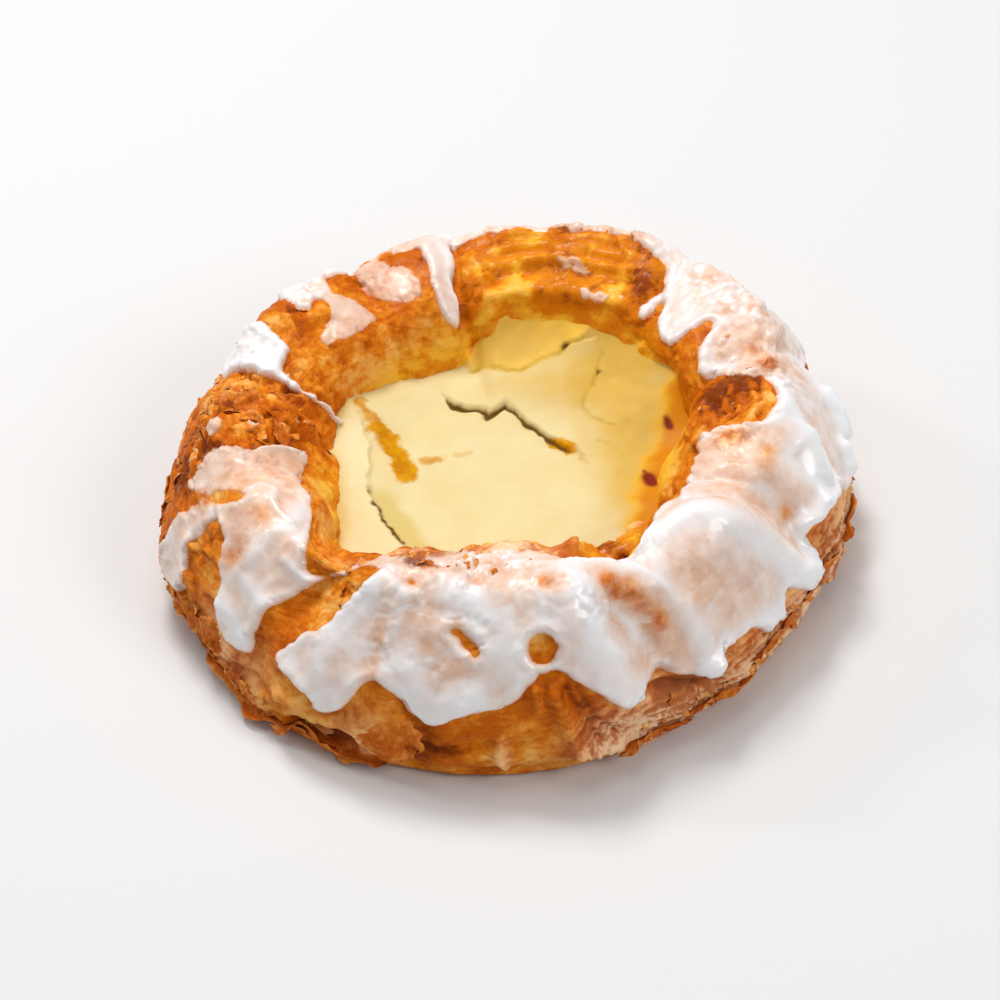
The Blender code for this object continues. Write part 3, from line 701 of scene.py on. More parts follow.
THINNED_AND_SHADED_SPOTS = (  # where the crust shows through; in the valley under the front-right ridge, also painted shade
    Spot(289.5, 6.8, 4, 0.30, 0.6),
    Spot(294, 6.4, 4, 0.30, 0.95),
    Spot(299, 5.9, 3.5, 0.30, 0.85),
    Spot(291.5, 5.8, 3, 0.35, 0.5),
    # these two: thinner icing in the valley under the front-right ridge, partly real and partly painted shade
    Spot(299, 5.2, 5, 0.50, 0.85),
    Spot(303, 4.7, 3, 0.35, 0.6),
    Spot(309, 6.0, 4.5, 0.60, 0.7),
    Spot(314, 5.7, 5, 0.60, 0.4),
    Spot(319, 5.1, 4, 0.35, 0.2),
    Spot(340, 7.5, 7, 0.50, 0.6),
    Spot(337.5, 6.2, 3.5, 0.80, 0.6),
    Spot(328.5, 7.1, 7, 0.50, 0.4),
    Spot(335, 6.5, 3, 0.60, 0.5),
    Spot(341.5, 5.55, 1.2, 0.15, 0.95),
    Spot(341, 5.55, 3, 0.35, 0.75),
    Spot(338, 5.05, 2, 0.30, 0.6),
    Spot(347, 8.05, 7, 0.45, 0.8),
    Spot(349, 7.5, 5, 0.40, 0.85),
    Spot(351, 7.2, 4, 0.30, 0.9),
    Spot(349.5, 6.75, 4, 0.35, 0.65),
    Spot(343.5, 7.05, 6, 0.40, 0.5),
    Spot(246, 6.3, 1.5, 0.55, 0.5),
    Spot(246.5, 5.2, 1.3, 0.50, 0.45),
    Spot(253, 6.3, 2.5, 0.30, 0.45),
    Spot(260, 6.05, 2.5, 0.25, 0.6),
    Spot(277.5, 6.9, 2, 0.20, 0.75),
    Spot(280.5, 6.8, 2, 0.20, 0.55),
    Spot(265, 7.1, 8, 0.25, 0.7),
    Spot(250, 6.95, 4, 0.22, 0.7),
    Spot(198, 5.8, 3, 0.40, 0.7),
    Spot(208, 6.0, 3, 0.40, 0.5),
    Spot(211, 6.7, 5, 0.5, 0.6),
    Spot(212, 5.72, 3, 0.25, 0.8),
    Spot(199, 4.9, 5, 0.9, 0.2),
    Spot(138, 7.9, 14, 0.35, 0.95),
    Spot(119, 7.5, 9, 0.7, 0.95),
    Spot(85, 6.95, 24, 0.35, 0.45),
    Spot(260, 5.3, 4, 0.4, 0.25),
    Spot(196, 7.6, 9, 0.7, 0.8),
    Spot(191, 6.1, 6, 0.5, 0.8),
    Spot(26, 7.4, 7, 0.45, 0.6),
    Spot(22, 6.5, 8, 0.6, 0.6),
    Spot(15, 7.2, 5, 0.3, 0.7),
    Spot(42, 7.1, 6, 0.35, 0.4),
)
BARE_SPOTS = (  # where next to none is left
    Spot(119, 7.45, 9, 0.6, 0.35),
    Spot(88, 7.0, 20, 0.2, 0.1),
    Spot(196, 7.3, 9, 0.9, 0.3),
    Spot(210, 6.8, 5, 0.5, 0.4),
    Spot(292.5, 6.45, 4.5, 0.28, 0.85),
    Spot(297, 6.0, 4.0, 0.32, 0.8),
    Spot(300.5, 5.6, 2.5, 0.22, 0.7),
    Spot(289.8, 6.75, 2.0, 0.16, 0.7),
    Spot(341.5, 5.55, 1.3, 0.15, 1.0),
    Spot(277.5, 6.9, 1.6, 0.16, 0.8),
    Spot(270.5, 6.6, 1.2, 0.12, 0.5),
    Spot(351.5, 7.55, 3.5, 0.25, 0.9),
    Spot(348.5, 6.75, 3.0, 0.22, 0.6),
    Spot(247, 5.6, 1.2, 0.5, 0.45),
    Spot(254, 7.3, 5, 0.16, 0.7),
    Spot(16, 7.0, 3, 0.3, 0.8),
    Spot(22, 7.2, 2.5, 0.3, 0.6),
    Spot(248, 7.35, 3.5, 0.16, 1.0),
    Spot(251.5, 7.65, 2.5, 0.14, 1.0),
    Spot(196, 5.85, 2.0, 0.15, 0.8),
    Spot(199.5, 6.25, 2.0, 0.15, 0.8),
    Spot(203, 6.7, 2.0, 0.15, 0.7),
    Spot(212, 5.72, 2, 0.2, 0.8),
)
MM_PER_DEGREE = 0.82
ICING_FIRST = 3.5
ICING_LAST = 10.2
ICING_ROWS = 190
ICING_COLUMNS = 960
Pour = namedtuple("Pour", "depth load thin")


def pool_depth(sheet, outline):
    """How far inside an outline each point of the sheet lies, in millimetres."""
    middle = (min(h for h, _ in outline) + max(h for h, _ in outline)) / 2
    across = gap_between(sheet.headings, middle)[None, :] * MM_PER_DEGREE
    up = sheet.run[:, None]
    corners = [((h - middle) * MM_PER_DEGREE, np.interp(p, RUN_PLACES, RUN_LENGTHS)) for h, p in outline]
    gap = np.full((len(sheet.run), len(sheet.headings)), 99.0)
    inside = np.zeros(gap.shape, bool)
    for (x0, y0), (x1, y1) in zip(corners, corners[1:] + corners[:1]):
        share = ((across - x0) * (x1 - x0) + (up - y0) * (y1 - y0)) / ((x1 - x0) ** 2 + (y1 - y0) ** 2)
        share = np.clip(share, 0, 1)
        gap = np.minimum(gap, np.hypot(across - x0 - share * (x1 - x0), up - y0 - share * (y1 - y0)))
        if y0 != y1:
            crossing = x0 + (x1 - x0) * (up - y0) / (y1 - y0)
            inside ^= ((y0 > up) != (y1 > up)) & (across < crossing)
    return np.where(inside, gap, -gap)


def icing_pour(sheet):
    """How far inside the icing's edge each point lies, how thickly it is poured and how far it has thinned."""
    ragged = layered_lumps(sheet.ring_space(), 2.6, 91, 3)
    depth = np.full(ragged.shape, -9.0)
    load = np.zeros(ragged.shape)
    shares = np.full(ragged.shape, 1e-9)
    for pool in POOLS:
        inside = pool_depth(sheet, pool.outline) + pool.fray * ragged
        blend = np.clip(1 - np.abs(inside - depth), 0, None)
        depth = np.maximum(inside, depth) + blend**2 / 4
        share = np.exp(np.clip(inside, -12, 4) / 1.1)
        load += pool.load * share
        shares += share
    depth = evened(depth, 6)
    for pool in BARE_POOLS:
        depth = np.minimum(depth, -evened(pool_depth(sheet, pool.outline), 5) - pool.fray * ragged)
    depth += 0.2 * lumps(sheet.ring_space(), 1.2, 95)
    thin = np.clip(sheet.patches(THINNED_AND_SHADED_SPOTS), 0, 0.95)
    return Pour(depth, load / shares, thin)


def make_icing():
    sheet = Sheet(ICING_COLUMNS, np.linspace(ICING_FIRST, ICING_LAST, ICING_ROWS))
    relief, tone, pour = crust_relief(sheet)
    depth = pour.depth
    shoulder = np.sqrt(np.clip(1 - (1 - np.clip(depth / 1.0, 0, 1)) ** 2, 0, 1))
    bead = 0.4 * np.clip(pour.load, 0.3, 1) * np.exp(-(((depth - 1.2) / 0.8) ** 2))
    pooling = 1 + 0.3 * lumps(sheet.ring_space(), 6.0, 97)
    streaks = 0.12 * lumps(sheet.ring_space(0.55), 2.4, 99)
    poured = pour.load * pooling * (1 - 0.85 * pour.thin) + raised(sheet, RIDGES) + bead + streaks
    rough = np.clip(sheet.patches(ROUGH_SPOTS), 0, 1)
    strewn = np.stack([lumps(sheet.ring_space(), 1.6, seed) for seed in (92, 94, 96)], axis=2)
    away, _, crumb_size, _ = cells_of(sheet.ring_space() + strewn * 0.5, 1.6, 93)
    crumbs = crumb_size * np.clip(1 - (away / 0.9) ** 2, 0, 1) * ease(pooling, 0.85, 1.15)
    crumbs += 0.35 * lumps(sheet.ring_space(), 1.1, 98)
    poured += rough * (1.0 * crumbs - 0.6 * np.clip(relief - evened(relief, 10), -0.3, 0.5))
    thickness = shoulder * np.clip(poured, 0.08, None)
    inside = (ease(depth, 0.2, 1.8) * (1 - 0.15 * pour.thin) * (1 - 0.8 * rough))[:, :, None]
    crust = sheet.points + sheet.normals * relief[:, :, None]
    even = evened(crust, 50)
    even += (evened(even, 260) - even) * np.clip(sheet.patches(FILLED_SPOTS), 0, 1)[:, :, None]
    bed = crust + (even - crust) * inside
    up = outward(evened(crust, 12))
    sunk = 0.5 * ease(-depth, 0, 0.4)
    points = bed + up * (thickness - sunk)[:, :, None]
    cover = np.maximum(((points - crust) * up).sum(axis=2), 0.8 * thickness * (1 - rough))
    cover = np.maximum(cover * (1 - 0.6 * pour.thin), 0.2 * shoulder)
    cover *= 1 - np.clip(sheet.patches(BARE_SPOTS) * (1 + 0.2 * crumb_size), 0, 1)
    cover *= 1 - 0.7 * rough * ease(crumbs, 0.45, 0.75)
    faces = grid_faces(*depth.shape, (depth > -0.3).reshape(-1))
    fields = crust_fields(sheet, relief, tone) | {"cover": cover}
    piece = mesh_of("icing", points.reshape(-1, 3), faces, fields)
    piece.data.materials.append(icing_finish())
    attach(piece, "root")
    print("icing triangles", 2 * len(faces))


# --- Flakes ---------------------------------------------------------------------------------------------

Leaf = namedtuple("Leaf", "heading place length width turn lift")  # its free edge stands up by its lift
LEAVES = (
    Leaf(250.5, 4.0, 9.5, 8.5, -35, 1.4),
    Leaf(246, 2.9, 9.0, 3.5, -15, 1.6),
    Leaf(216, 2.75, 15.0, 3.4, 180, 1.5),
    Leaf(228, 2.75, 14.0, 3.0, 186, 1.8),
    Leaf(238, 2.75, 15.0, 3.2, 184, 2.0),
    Leaf(213.5, 4.0, 8.0, 4.6, 80, 0.9),
    Leaf(221, 3.3, 7.0, 4.0, 160, 0.8),
    Leaf(296, 3.2, 13.0, 4.0, 190, 1.2),
    Leaf(311, 3.4, 15.0, 3.6, 184, 1.2),
    Leaf(325, 3.9, 12.0, 3.2, 176, 1.0),
    Leaf(341, 4.0, 12.0, 3.4, 186, 1.2),
    Leaf(357, 3.9, 10.0, 3.6, 178, 1.2),
    Leaf(176, 7.3, 7.0, 4.0, 20, 1.0),
    Leaf(184, 7.9, 6.0, 3.4, -10, 0.9),
    Leaf(168, 7.9, 7.0, 3.0, 70, 0.9),
)
Zone = namedtuple("Zone", "heading place across along count size reach")  # reach: how far onto the icing
FLAKE_ZONES = (
    Zone(174, 7.0, 6.5, 0.9, 34, 2.4, 0.3),
    Zone(184, 5.6, 8, 0.9, 22, 2.2, 0.3),
    Zone(5, 7.6, 9, 0.35, 9, 1.0, 9.0),
    Zone(254, 7.5, 12, 0.15, 24, 1.2, 9.0),
    Zone(150, 7.0, 10, 0.5, 16, 1.5, 0.3),
    Zone(232, 6.6, 6, 0.4, 12, 1.6, 0.3),
    Zone(308, 3.6, 14, 0.45, 34, 1.9, 0.3),
    Zone(342, 3.9, 14, 0.45, 26, 1.7, 0.3),
    Zone(15, 4.0, 14, 0.45, 18, 1.7, 0.3),
    Zone(224, 3.2, 10, 0.4, 34, 2.2, 0.3),
    Zone(204, 3.9, 8, 0.5, 16, 2.0, 0.3),
    Zone(60, 4.2, 22, 0.7, 24, 2.6, 0.3),
    Zone(110, 4.2, 24, 0.7, 28, 2.6, 0.3),
    Zone(155, 4.4, 16, 0.7, 20, 2.6, 0.3),
)
FLAKE_THICKNESS = 0.28
MM_PER_PLACE = 8.2


def flake_form(sheet, crust, up, leaf, steps, draw):
    """The top and underside of one thin leaf of dough, as one grid of points each."""
    side = np.linspace(-1, 1, steps + 1)
    u, v = np.meshgrid(side, side)
    rim = np.maximum(np.abs(u), np.abs(v))
    ragged = 1 + draw.uniform(-0.30, 0.22, u.shape) * rim**4 * (0.4 if steps > 8 else 1)
    x = leaf.length / 2 * u * np.sqrt(1 - v**2 / 2.6) * ragged
    y = leaf.width / 2 * v * np.sqrt(1 - u**2 / 2.6) * ragged
    turn = math.radians(leaf.turn)
    headings = leaf.heading + (x * math.cos(turn) - y * math.sin(turn)) / MM_PER_DEGREE
    places = leaf.place - (x * math.sin(turn) + y * math.cos(turn)) / MM_PER_PLACE
    free = (v + 1) / 2
    wave = draw.uniform(-0.5, 0.5) * u**2 + draw.uniform(-0.3, 0.3) * u + 0.25 * np.sin(5 * u + 2 * v + leaf.turn)
    height = -0.25 + (leaf.lift + 0.25) * free**1.6 * (1 + wave)
    half = FLAKE_THICKNESS / 2 * (1.15 - rim**6)
    ground = sheet.read(crust, headings, places)
    lean = sheet.read(up, headings, places)
    return ground + lean * (height + half)[..., None], ground + lean * (height - half)[..., None]


def flake_faces(steps):
    """The faces of one leaf, whose top grid's points come first and its underside's next."""
    row = steps + 1
    at = np.arange(row * row).reshape(row, row)
    top = np.stack([at[:-1, :-1], at[:-1, 1:], at[1:, 1:], at[1:, :-1]], axis=2).reshape(-1, 4)
    loop = np.concatenate([at[0, :-1], at[:-1, -1], at[-1, :0:-1], at[:0:-1, 0]])
    after = np.roll(loop, -1)
    rim = np.stack([loop, loop + row * row, after + row * row, after], axis=1)
    return np.concatenate([top, top[:, ::-1] + row * row, rim])


def make_flakes():
    """Leaves of dough that have come loose, from torn flaps to crumbs."""
    sheet = Sheet(720, np.linspace(2, 10, 200))
    relief, _, pour = crust_relief(sheet)
    crust = sheet.points + sheet.normals * (relief + 0.4 * ease(pour.depth, -0.3, 1.0))[:, :, None]
    up = outward(evened(crust, 8))
    draw = np.random.default_rng(17)
    leaves = [(leaf, 14, 0.1, 0.62) for leaf in LEAVES]
    for zone in FLAKE_ZONES:
        for _ in range(zone.count):
            heading = zone.heading + draw.normal() * zone.across
            place = zone.place + draw.normal() * zone.along
            length = zone.size * draw.uniform(0.5, 1.5)
            width = length * draw.uniform(0.4, 0.8)
            leaf = Leaf(heading, max(place, 2.7), length, width, draw.uniform(-180, 180), width * 0.28)
            row = np.abs(sheet.places - leaf.place).argmin()
            column = np.abs(gap_between(sheet.headings, heading)).argmin()
            looks = (leaf, 4, draw.uniform(0.0, 0.25), draw.uniform(0.2, 0.65))
            if pour.depth[row, column] < zone.reach:
                leaves.append(looks)
    points = []
    faces = []
    bake_and_shade = []
    pale = []
    for leaf, steps, torn, browned_by in leaves:
        grids = flake_form(sheet, crust, up, leaf, steps, draw)
        faces.append(flake_faces(steps) + sum(len(part) for part in points))
        points.append(np.concatenate([grid.reshape(-1, 3) for grid in grids]))
        side = np.abs(np.linspace(-1, 1, steps + 1))
        rim = np.maximum(side[:, None], side[None, :]).reshape(-1)
        bake_and_shade.append(np.tile(browned_by - 0.2 * rim**3, 2))
        pale.append(np.tile(torn * (0.6 + 0.8 * rim**3), 2))
    points = np.concatenate(points)
    points[:, 2] = np.maximum(points[:, 2], 0.05)
    plain = np.zeros(len(points))
    fields = {"bake_and_shade": np.concatenate(bake_and_shade), "pale": np.concatenate(pale), "amber": plain, "tone": plain + 0.4}
    piece = mesh_of("flakes", points, np.concatenate(faces), fields | {"layers": points * MM})
    piece.data.materials.append(crust_finish())
    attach(piece, "root")


# --- Custard --------------------------------------------------------------------------------------------

Mound = namedtuple("Mound", "x y spread_x spread_y height")
MOUNDS = (
    Mound(4.0, 20.0, 18.0, 8.0, 1.6),
    Mound(-25.0, -2.0, 4.5, 14.0, 1.4),
    Mound(2.0, -6.0, 15.0, 10.0, -0.6),
)
CLIMB_RUN = 4
BRIM = (  # how high the custard's skin reaches up the wall, from heading to heading
    (0, 16.4), (14, 17.5), (24, 20.5), (30, 22.3), (38, 22.4), (48, 21.6), (56, 22.4), (64, 23.4), (75, 23.6),
    (86, 23.2), (94, 22.6), (98.5, 20.5), (103, 16.6), (114, 16.1), (130, 16.4), (142, 17.6), (153, 19.4),
    (162, 18.0), (174, 17.4), (190, 17.2), (206, 16.8), (225, 16.2), (250, 15.6), (280, 15.5), (310, 15.8),
    (335, 16.6), (350, 16.5),
)
CUSTARD_CELLS = 280
Split = namedtuple("Split", "width depth knots")  # a crack in the skin
BROAD_SPLIT = Split(0.42, 0.55, ((-10.7, 17.2), (-9.5, 15.4), (-7, 14.6), (-5, 14.2), (-3.5, 12.8), (-2, 13.6),
                                (-0.3, 15), (1, 13.8), (3, 11.2), (5, 9), (7, 7.2), (8.5, 6), (10, 5), (12, 4.2)))
LEFT_SPLIT = Split(0.75, 0.5, ((-27, 15.5), (-24.5, 10), (-23, 3), (-23.5, -3), (-22.5, -8), (-21, -12.5),
                               (-19, -15.5), (-17.5, -18.5), (-16, -21)))
FINE_SPLITS = (
    Split(0.40, 0.45, ((-6.6, 24.6), (-4, 23.6), (-1.4, 22.6), (2.1, 22.3), (5.6, 24.6), (9.1, 25.6), (10, 27.2))),
    Split(0.30, 0.35, ((10, 27.2), (12, 27.4), (15.4, 27.8), (16.4, 24.8), (15.6, 22.2))),
    Split(0.32, 0.50, ((15.6, 22.2), (14.1, 18.0), (12.9, 15), (13.7, 12.2), (15.7, 10.9), (17.7, 10))),
    Split(0.30, 0.20, ((15.0, 6.6), (17.3, 6.3), (19, 4.6), (19.8, 1), (18.8, -1.5))),
)
STAINS = (  # browned skin: half width and strength
    Split(1.7, 0.6, ((-25.2, 14.5), (-23.4, 11), (-22, 9))),
    Split(2.4, 1.0, ((-22, 9), (-20, 6), (-18.6, 3), (-17.4, 0), (-17, -1.5))),
    Split(1.3, 0.6, ((-14.5, 2.3), (-11.8, 2.8))),
    Split(1.1, 0.4, ((-9, 3.8), (-7, 4.4))),
    Split(1.4, 0.8, ((7.8, 7.0), (10.5, 5.0))),
    Split(0.9, 0.35, ((11.5, 4.0), (13.5, 2.2))),
)
Margin = namedtuple("Margin", "soft knots")  # everything to the right of its run is browned
# past this margin the skin climbs the back wall; it is yellower there, and painted light makes it brighter still
BACK_MARGIN = Margin(0.8, ((15, 29), (10, 27.2), (9.1, 25.6), (5.6, 24.6), (2.1, 22.3), (-1.4, 22.6), (-4, 23.6),
                           (-7, 25.2), (-10, 28)))
RIGHT_MARGIN = Margin(4.0, ((20.5, -14), (20, -10.5), (20, -7), (21.2, -3.5), (23, 0.5), (24.5, 5), (26, 12), (28.5, 17)))
Patch = namedtuple("Patch", "x y spread_x spread_y amount")
RIPE_PATCHES = (  # yellower skin
    Patch(4, 19, 12, 5, 0.5),
    Patch(18, 23, 10, 9, 0.8),
    Patch(22, 9, 9, 10, 0.85),
    Patch(21, -6, 7, 9, 0.7),
    Patch(-27, -14, 4, 10, 0.45),
    Patch(4, -23, 14, 2.5, 0.35),
    Patch(-26, 12, 4, 4, 0.35),
)
DarkSpot = namedtuple("DarkSpot", "x y size amount")
DARK_SPOTS = (
    DarkSpot(-22.3, -9.8, 0.7, 0.7),
    DarkSpot(-20.5, -13.2, 0.6, 0.6),
    DarkSpot(-19.2, -14.6, 0.5, 0.6),
    DarkSpot(-18.6, -16.0, 0.6, 0.6),
    DarkSpot(-17.2, -17.6, 0.5, 0.6),
    DarkSpot(9.8, 27.0, 0.9, 0.6),
    DarkSpot(16.0, 21.8, 0.6, 0.5),
)
BURNT_SPOTS = (
    DarkSpot(27.2, 9.6, 1.0, 1.1),
    DarkSpot(26.7, 10.6, 0.7, 0.6),
    DarkSpot(27.6, 8.6, 0.6, 0.7),
    DarkSpot(22.8, -0.8, 0.6, 0.7),
    DarkSpot(23.4, -2.2, 1.1, 1.2),
    DarkSpot(24.0, -3.8, 1.2, 1.4),
)


def specks(x, y, spots):
    return sum(s.amount * np.exp(-((x - s.x) ** 2 + (y - s.y) ** 2) / s.size**2) for s in spots)


def from_split(x, y, split):
    """The distance to a crack, and which side of it each point lies on (1 to the right of its run)."""
    nearest = np.full(x.shape, 99.0)
    side = np.zeros(x.shape)
    for (x0, y0), (x1, y1) in zip(split.knots, split.knots[1:]):
        length = math.hypot(x1 - x0, y1 - y0)
        along_x = (x1 - x0) / length
        along_y = (y1 - y0) / length
        along = np.clip((x - x0) * along_x + (y - y0) * along_y, 0, length)
        gap = np.hypot(x - x0 - along * along_x, y - y0 - along * along_y)
        turn = np.sign((y1 - y0) * (x - x0) - (x1 - x0) * (y - y0))
        side = np.where(gap < nearest, turn, side)
        nearest = np.minimum(nearest, gap)
    return nearest, side


def wall_line(sheet, relief):
    """Radius and height of the line where the custard meets the wall, at each of the sheet's headings."""
    level = around(np.array([h for h, _ in BRIM]), [z for _, z in BRIM], sheet.headings)
    points = sheet.points + sheet.normals * relief[:, :, None]
    radius = np.hypot(points[:, :, 0], points[:, :, 1])
    height = points[:, :, 2]
    met = [np.interp(level[k], height[::-1, k], radius[::-1, k]) for k in range(len(level))]
    return evened(np.array([met]), 40)[0], level


def custard_disc():
    """A round grid's distance from the middle, from 0 to 1, and heading in degrees."""
    side = np.linspace(-1, 1, CUSTARD_CELLS + 1)
    u, v = np.meshgrid(side, side)
    u, v = u * np.sqrt(1 - v**2 / 2), v * np.sqrt(1 - u**2 / 2)
    return np.clip(np.hypot(u, v), 0, 1), np.degrees(np.arctan2(v, u))


def cracked(x, y, flat):
    """How the cracks raise and lower the skin, how dark they make it and the olive tint near them, with painted shade
    on the low side beside the left split's raised band.
    """
    wander = layered_lumps(flat, 2.4, 121, 3) * 0.35
    gap, turn = from_split(x + wander, y + wander * 0.7, BROAD_SPLIT)
    width = BROAD_SPLIT.width * (1 + 0.6 * lumps(flat, 3.0, 123))
    broad = np.exp(-((gap / width) ** 2)) * ease(x, -12.5, -10) * (1 - ease(x, 9, 12.5))
    far = ease(-turn * gap, -0.3, 1.2) * ease(x, -13, -9) * (1 - ease(x, 11, 15))
    height = 0.8 * far * np.exp(-gap / 4.5) - BROAD_SPLIT.depth * broad
    dark = broad
    olive_and_shade = 0.5 * np.exp(-gap / 1.0) * ease(x, -13, -9) * (1 - ease(x, 12, 15))
    gap, turn = from_split(x + 1.5 * wander, y, LEFT_SPLIT)
    band = ease(turn * gap, -0.4, 0.6)
    lower = 1 - ease(y, -9, -4)
    height += 0.8 * band * np.exp(-gap / 5) * (1 - ease(y, 8, 16)) - 0.2 * lower * np.exp(-gap / 1.2)
    specks = (1 + 1.2 * layered_lumps(flat, 1.3, 125, 3)).clip(0, 2)
    dark = dark + 0.45 * lower * specks * np.exp(-((gap / LEFT_SPLIT.width) ** 2))
    # painted shade on the low side beside the left split's raised band
    olive_and_shade += lower * (1 - band) * (1 - ease(gap, 2.5, 5.5)) * 1.1
    for split in FINE_SPLITS:
        gap, _ = from_split(x + wander, y + wander, split)
        crack = np.exp(-((gap / split.width) ** 2)) * (0.6 + 0.6 * lumps(flat, 2.0, 127))
        height = height - split.depth * crack
        dark = dark + crack * split.depth * 0.8
        olive_and_shade += 0.5 * np.exp(-gap / 1.3)
    return height, dark, olive_and_shade, band


def browned(x, y, flat):
    """How amber and how yellow the skin is; the yellow runs past 1 where the skin climbs the back wall, and there it
    is painted brighter: painted light.
    """
    speckle = layered_lumps(flat, 2.0, 141, 4)
    stain = np.zeros_like(x)
    for split in STAINS:
        gap, _ = from_split(x + 0.7 * speckle, y + 0.4 * speckle, split)
        stain = np.maximum(stain, split.depth * (1 - ease(gap, split.width * 0.2, split.width * 1.2)))
    gap, turn = from_split(x + 1.8 * layered_lumps(flat, 5.0, 143, 2), y, RIGHT_MARGIN)
    soaked = ease(turn * gap, -RIGHT_MARGIN.soft, RIGHT_MARGIN.soft) * ease(x, 14, 17)
    ripe_and_painted_light = sum(p.amount * np.exp(-(((x - p.x) / p.spread_x) ** 2) - ((y - p.y) / p.spread_y) ** 2) for p in RIPE_PATCHES)
    gap, turn = from_split(x + 0.5 * speckle, y, BACK_MARGIN)
    back = ease(turn * gap, -BACK_MARGIN.soft, BACK_MARGIN.soft) * ease(x, -10, -6) * (1 - ease(x, 12, 17))
    return stain, soaked, np.clip(ripe_and_painted_light, 0, 1) + back


def make_custard():
    sheet = Sheet(720, np.linspace(8.0, 11.0, 46))
    relief, _, _ = crust_relief(sheet)
    radius, level = wall_line(sheet, relief)
    share, heading = custard_disc()
    circle = np.append(sheet.headings, 360)
    edge = np.interp(np.mod(heading, 360), circle, np.append(radius, radius[0])) + 0.7
    brim = np.interp(np.mod(heading, 360), circle, np.append(level, level[0]))
    x = edge * share * np.cos(np.radians(heading))
    y = edge * share * np.sin(np.radians(heading))
    flat = np.stack([x, y, np.zeros_like(x)], axis=2)
    settled = sum(m.height * np.exp(-(((x - m.x) / m.spread_x) ** 2) - ((y - m.y) / m.spread_y) ** 2) for m in MOUNDS)
    height = FILL_LEVEL + (brim - FILL_LEVEL) * share**CLIMB_RUN + settled * (1 - share**CLIMB_RUN)
    split, dark, olive_and_shade, band = cracked(x, y, flat)
    stain, soaked, ripe_and_painted_light = browned(x, y, flat)
    stain = np.maximum(stain, 0.5 * ease(share, 0.97, 1.0) * ease(-x, 10, 20))
    dark = dark + specks(x, y, DARK_SPOTS)
    height += split + 0.10 * layered_lumps(flat, 9.0, 131, 2)
    height += 0.10 * ease(y, 6, 14) * layered_lumps(flat, 5.0, 135, 2) + 0.15 * ripe_and_painted_light * layered_lumps(flat, 4.0, 137, 2)
    points = np.stack([x, y, height], axis=2).reshape(-1, 3)
    rows = CUSTARD_CELLS + 1
    at = np.arange(rows * rows).reshape(rows, rows)
    faces = np.stack([at[:-1, :-1], at[:-1, 1:], at[1:, 1:], at[1:, :-1]], axis=2).reshape(-1, 4)
    fields = {"dark": np.clip(dark, 0, 1), "stain": stain, "share": share, "olive_and_shade": np.clip(olive_and_shade, 0, 1)}
    fields |= {"burnt": specks(x, y, BURNT_SPOTS), "soaked": soaked}
    fields |= {"ripe_and_painted_light": ripe_and_painted_light, "band": band * np.exp(-np.abs(x + 26) / 4)}
    piece = mesh_of("custard_top", points, faces, fields)
    piece.data.materials.append(custard_finish())
    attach(piece, "root")
    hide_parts("custard")


# --- Meshes ---------------------------------------------------------------------------------------------


def grid_faces(rows, columns, kept=None):
    """The four corners of each face of a grid that closes on itself along its rows."""
    row, column = np.meshgrid(np.arange(rows - 1), np.arange(columns), indexing="ij")
    after = (column + 1) % columns
    corners = np.stack(
        [row * columns + column, row * columns + after, (row + 1) * columns + after, (row + 1) * columns + column],
        axis=2,
    ).reshape(-1, 4)
    return corners if kept is None else corners[kept[corners].any(axis=1)]


def mesh_of(name, points, faces, fields):
    """A smooth-shaded mesh piece, with one number or vector of each field at each of its points."""
    used = np.unique(faces)
    place = np.zeros(len(points), np.int64)
    place[used] = np.arange(len(used))
    mesh = bpy.data.meshes.new(name)
    sides = faces.shape[1]
    mesh.vertices.add(len(used))
    mesh.vertices.foreach_set("co", (points[used] * MM).astype(np.float32).ravel())
    mesh.loops.add(faces.size)
    mesh.loops.foreach_set("vertex_index", place[faces].ravel().astype(np.int32))
    mesh.polygons.add(len(faces))
    mesh.polygons.foreach_set("loop_start", np.arange(0, faces.size, sides, dtype=np.int32))
    mesh.update(calc_edges=True)
    for field, values in fields.items():
        values = values.reshape(len(points), -1)[used].astype(np.float32)
        whole = values.shape[1] == 3
        attribute = mesh.attributes.new(field, "FLOAT_VECTOR" if whole else "FLOAT", "POINT")
        attribute.data.foreach_set("vector" if whole else "value", values.ravel())
    mesh.shade_smooth()
    piece = bpy.data.objects.new(name, mesh)
    bpy.context.scene.collection.objects.link(piece)
    return piece


# --- Finishes -------------------------------------------------------------------------------------------


class Value:
    """A number that changes over a surface, worked with Python's operators."""

    def __init__(self, finish, socket):
        self.finish = finish
        self.socket = socket

    def worked(self, operation, *others):
        inputs = dict(enumerate((self, *others)))
        return self.finish.node("ShaderNodeMath", {"operation": operation}, inputs)

    def __add__(self, other):
        return self.worked("ADD", other)

    def __sub__(self, other):
        return self.worked("SUBTRACT", other)

    def __rsub__(self, other):
        return (self * -1) + other

    def __mul__(self, other):
        return self.worked("MULTIPLY", other)

    def __truediv__(self, other):
        return self.worked("DIVIDE", other)

    def __pow__(self, other):
        return self.worked("POWER", other)

    __radd__ = __add__
    __rmul__ = __mul__

    def exponent(self):
        return self.worked("EXPONENT")

    def eased(self, low, high):
        """0 below low, 1 above high and smooth between them."""
        settings = {"interpolation_type": "SMOOTHSTEP"}
        return self.finish.node("ShaderNodeMapRange", settings, {0: self, 1: low, 2: high, 3: 0.0, 4: 1.0})


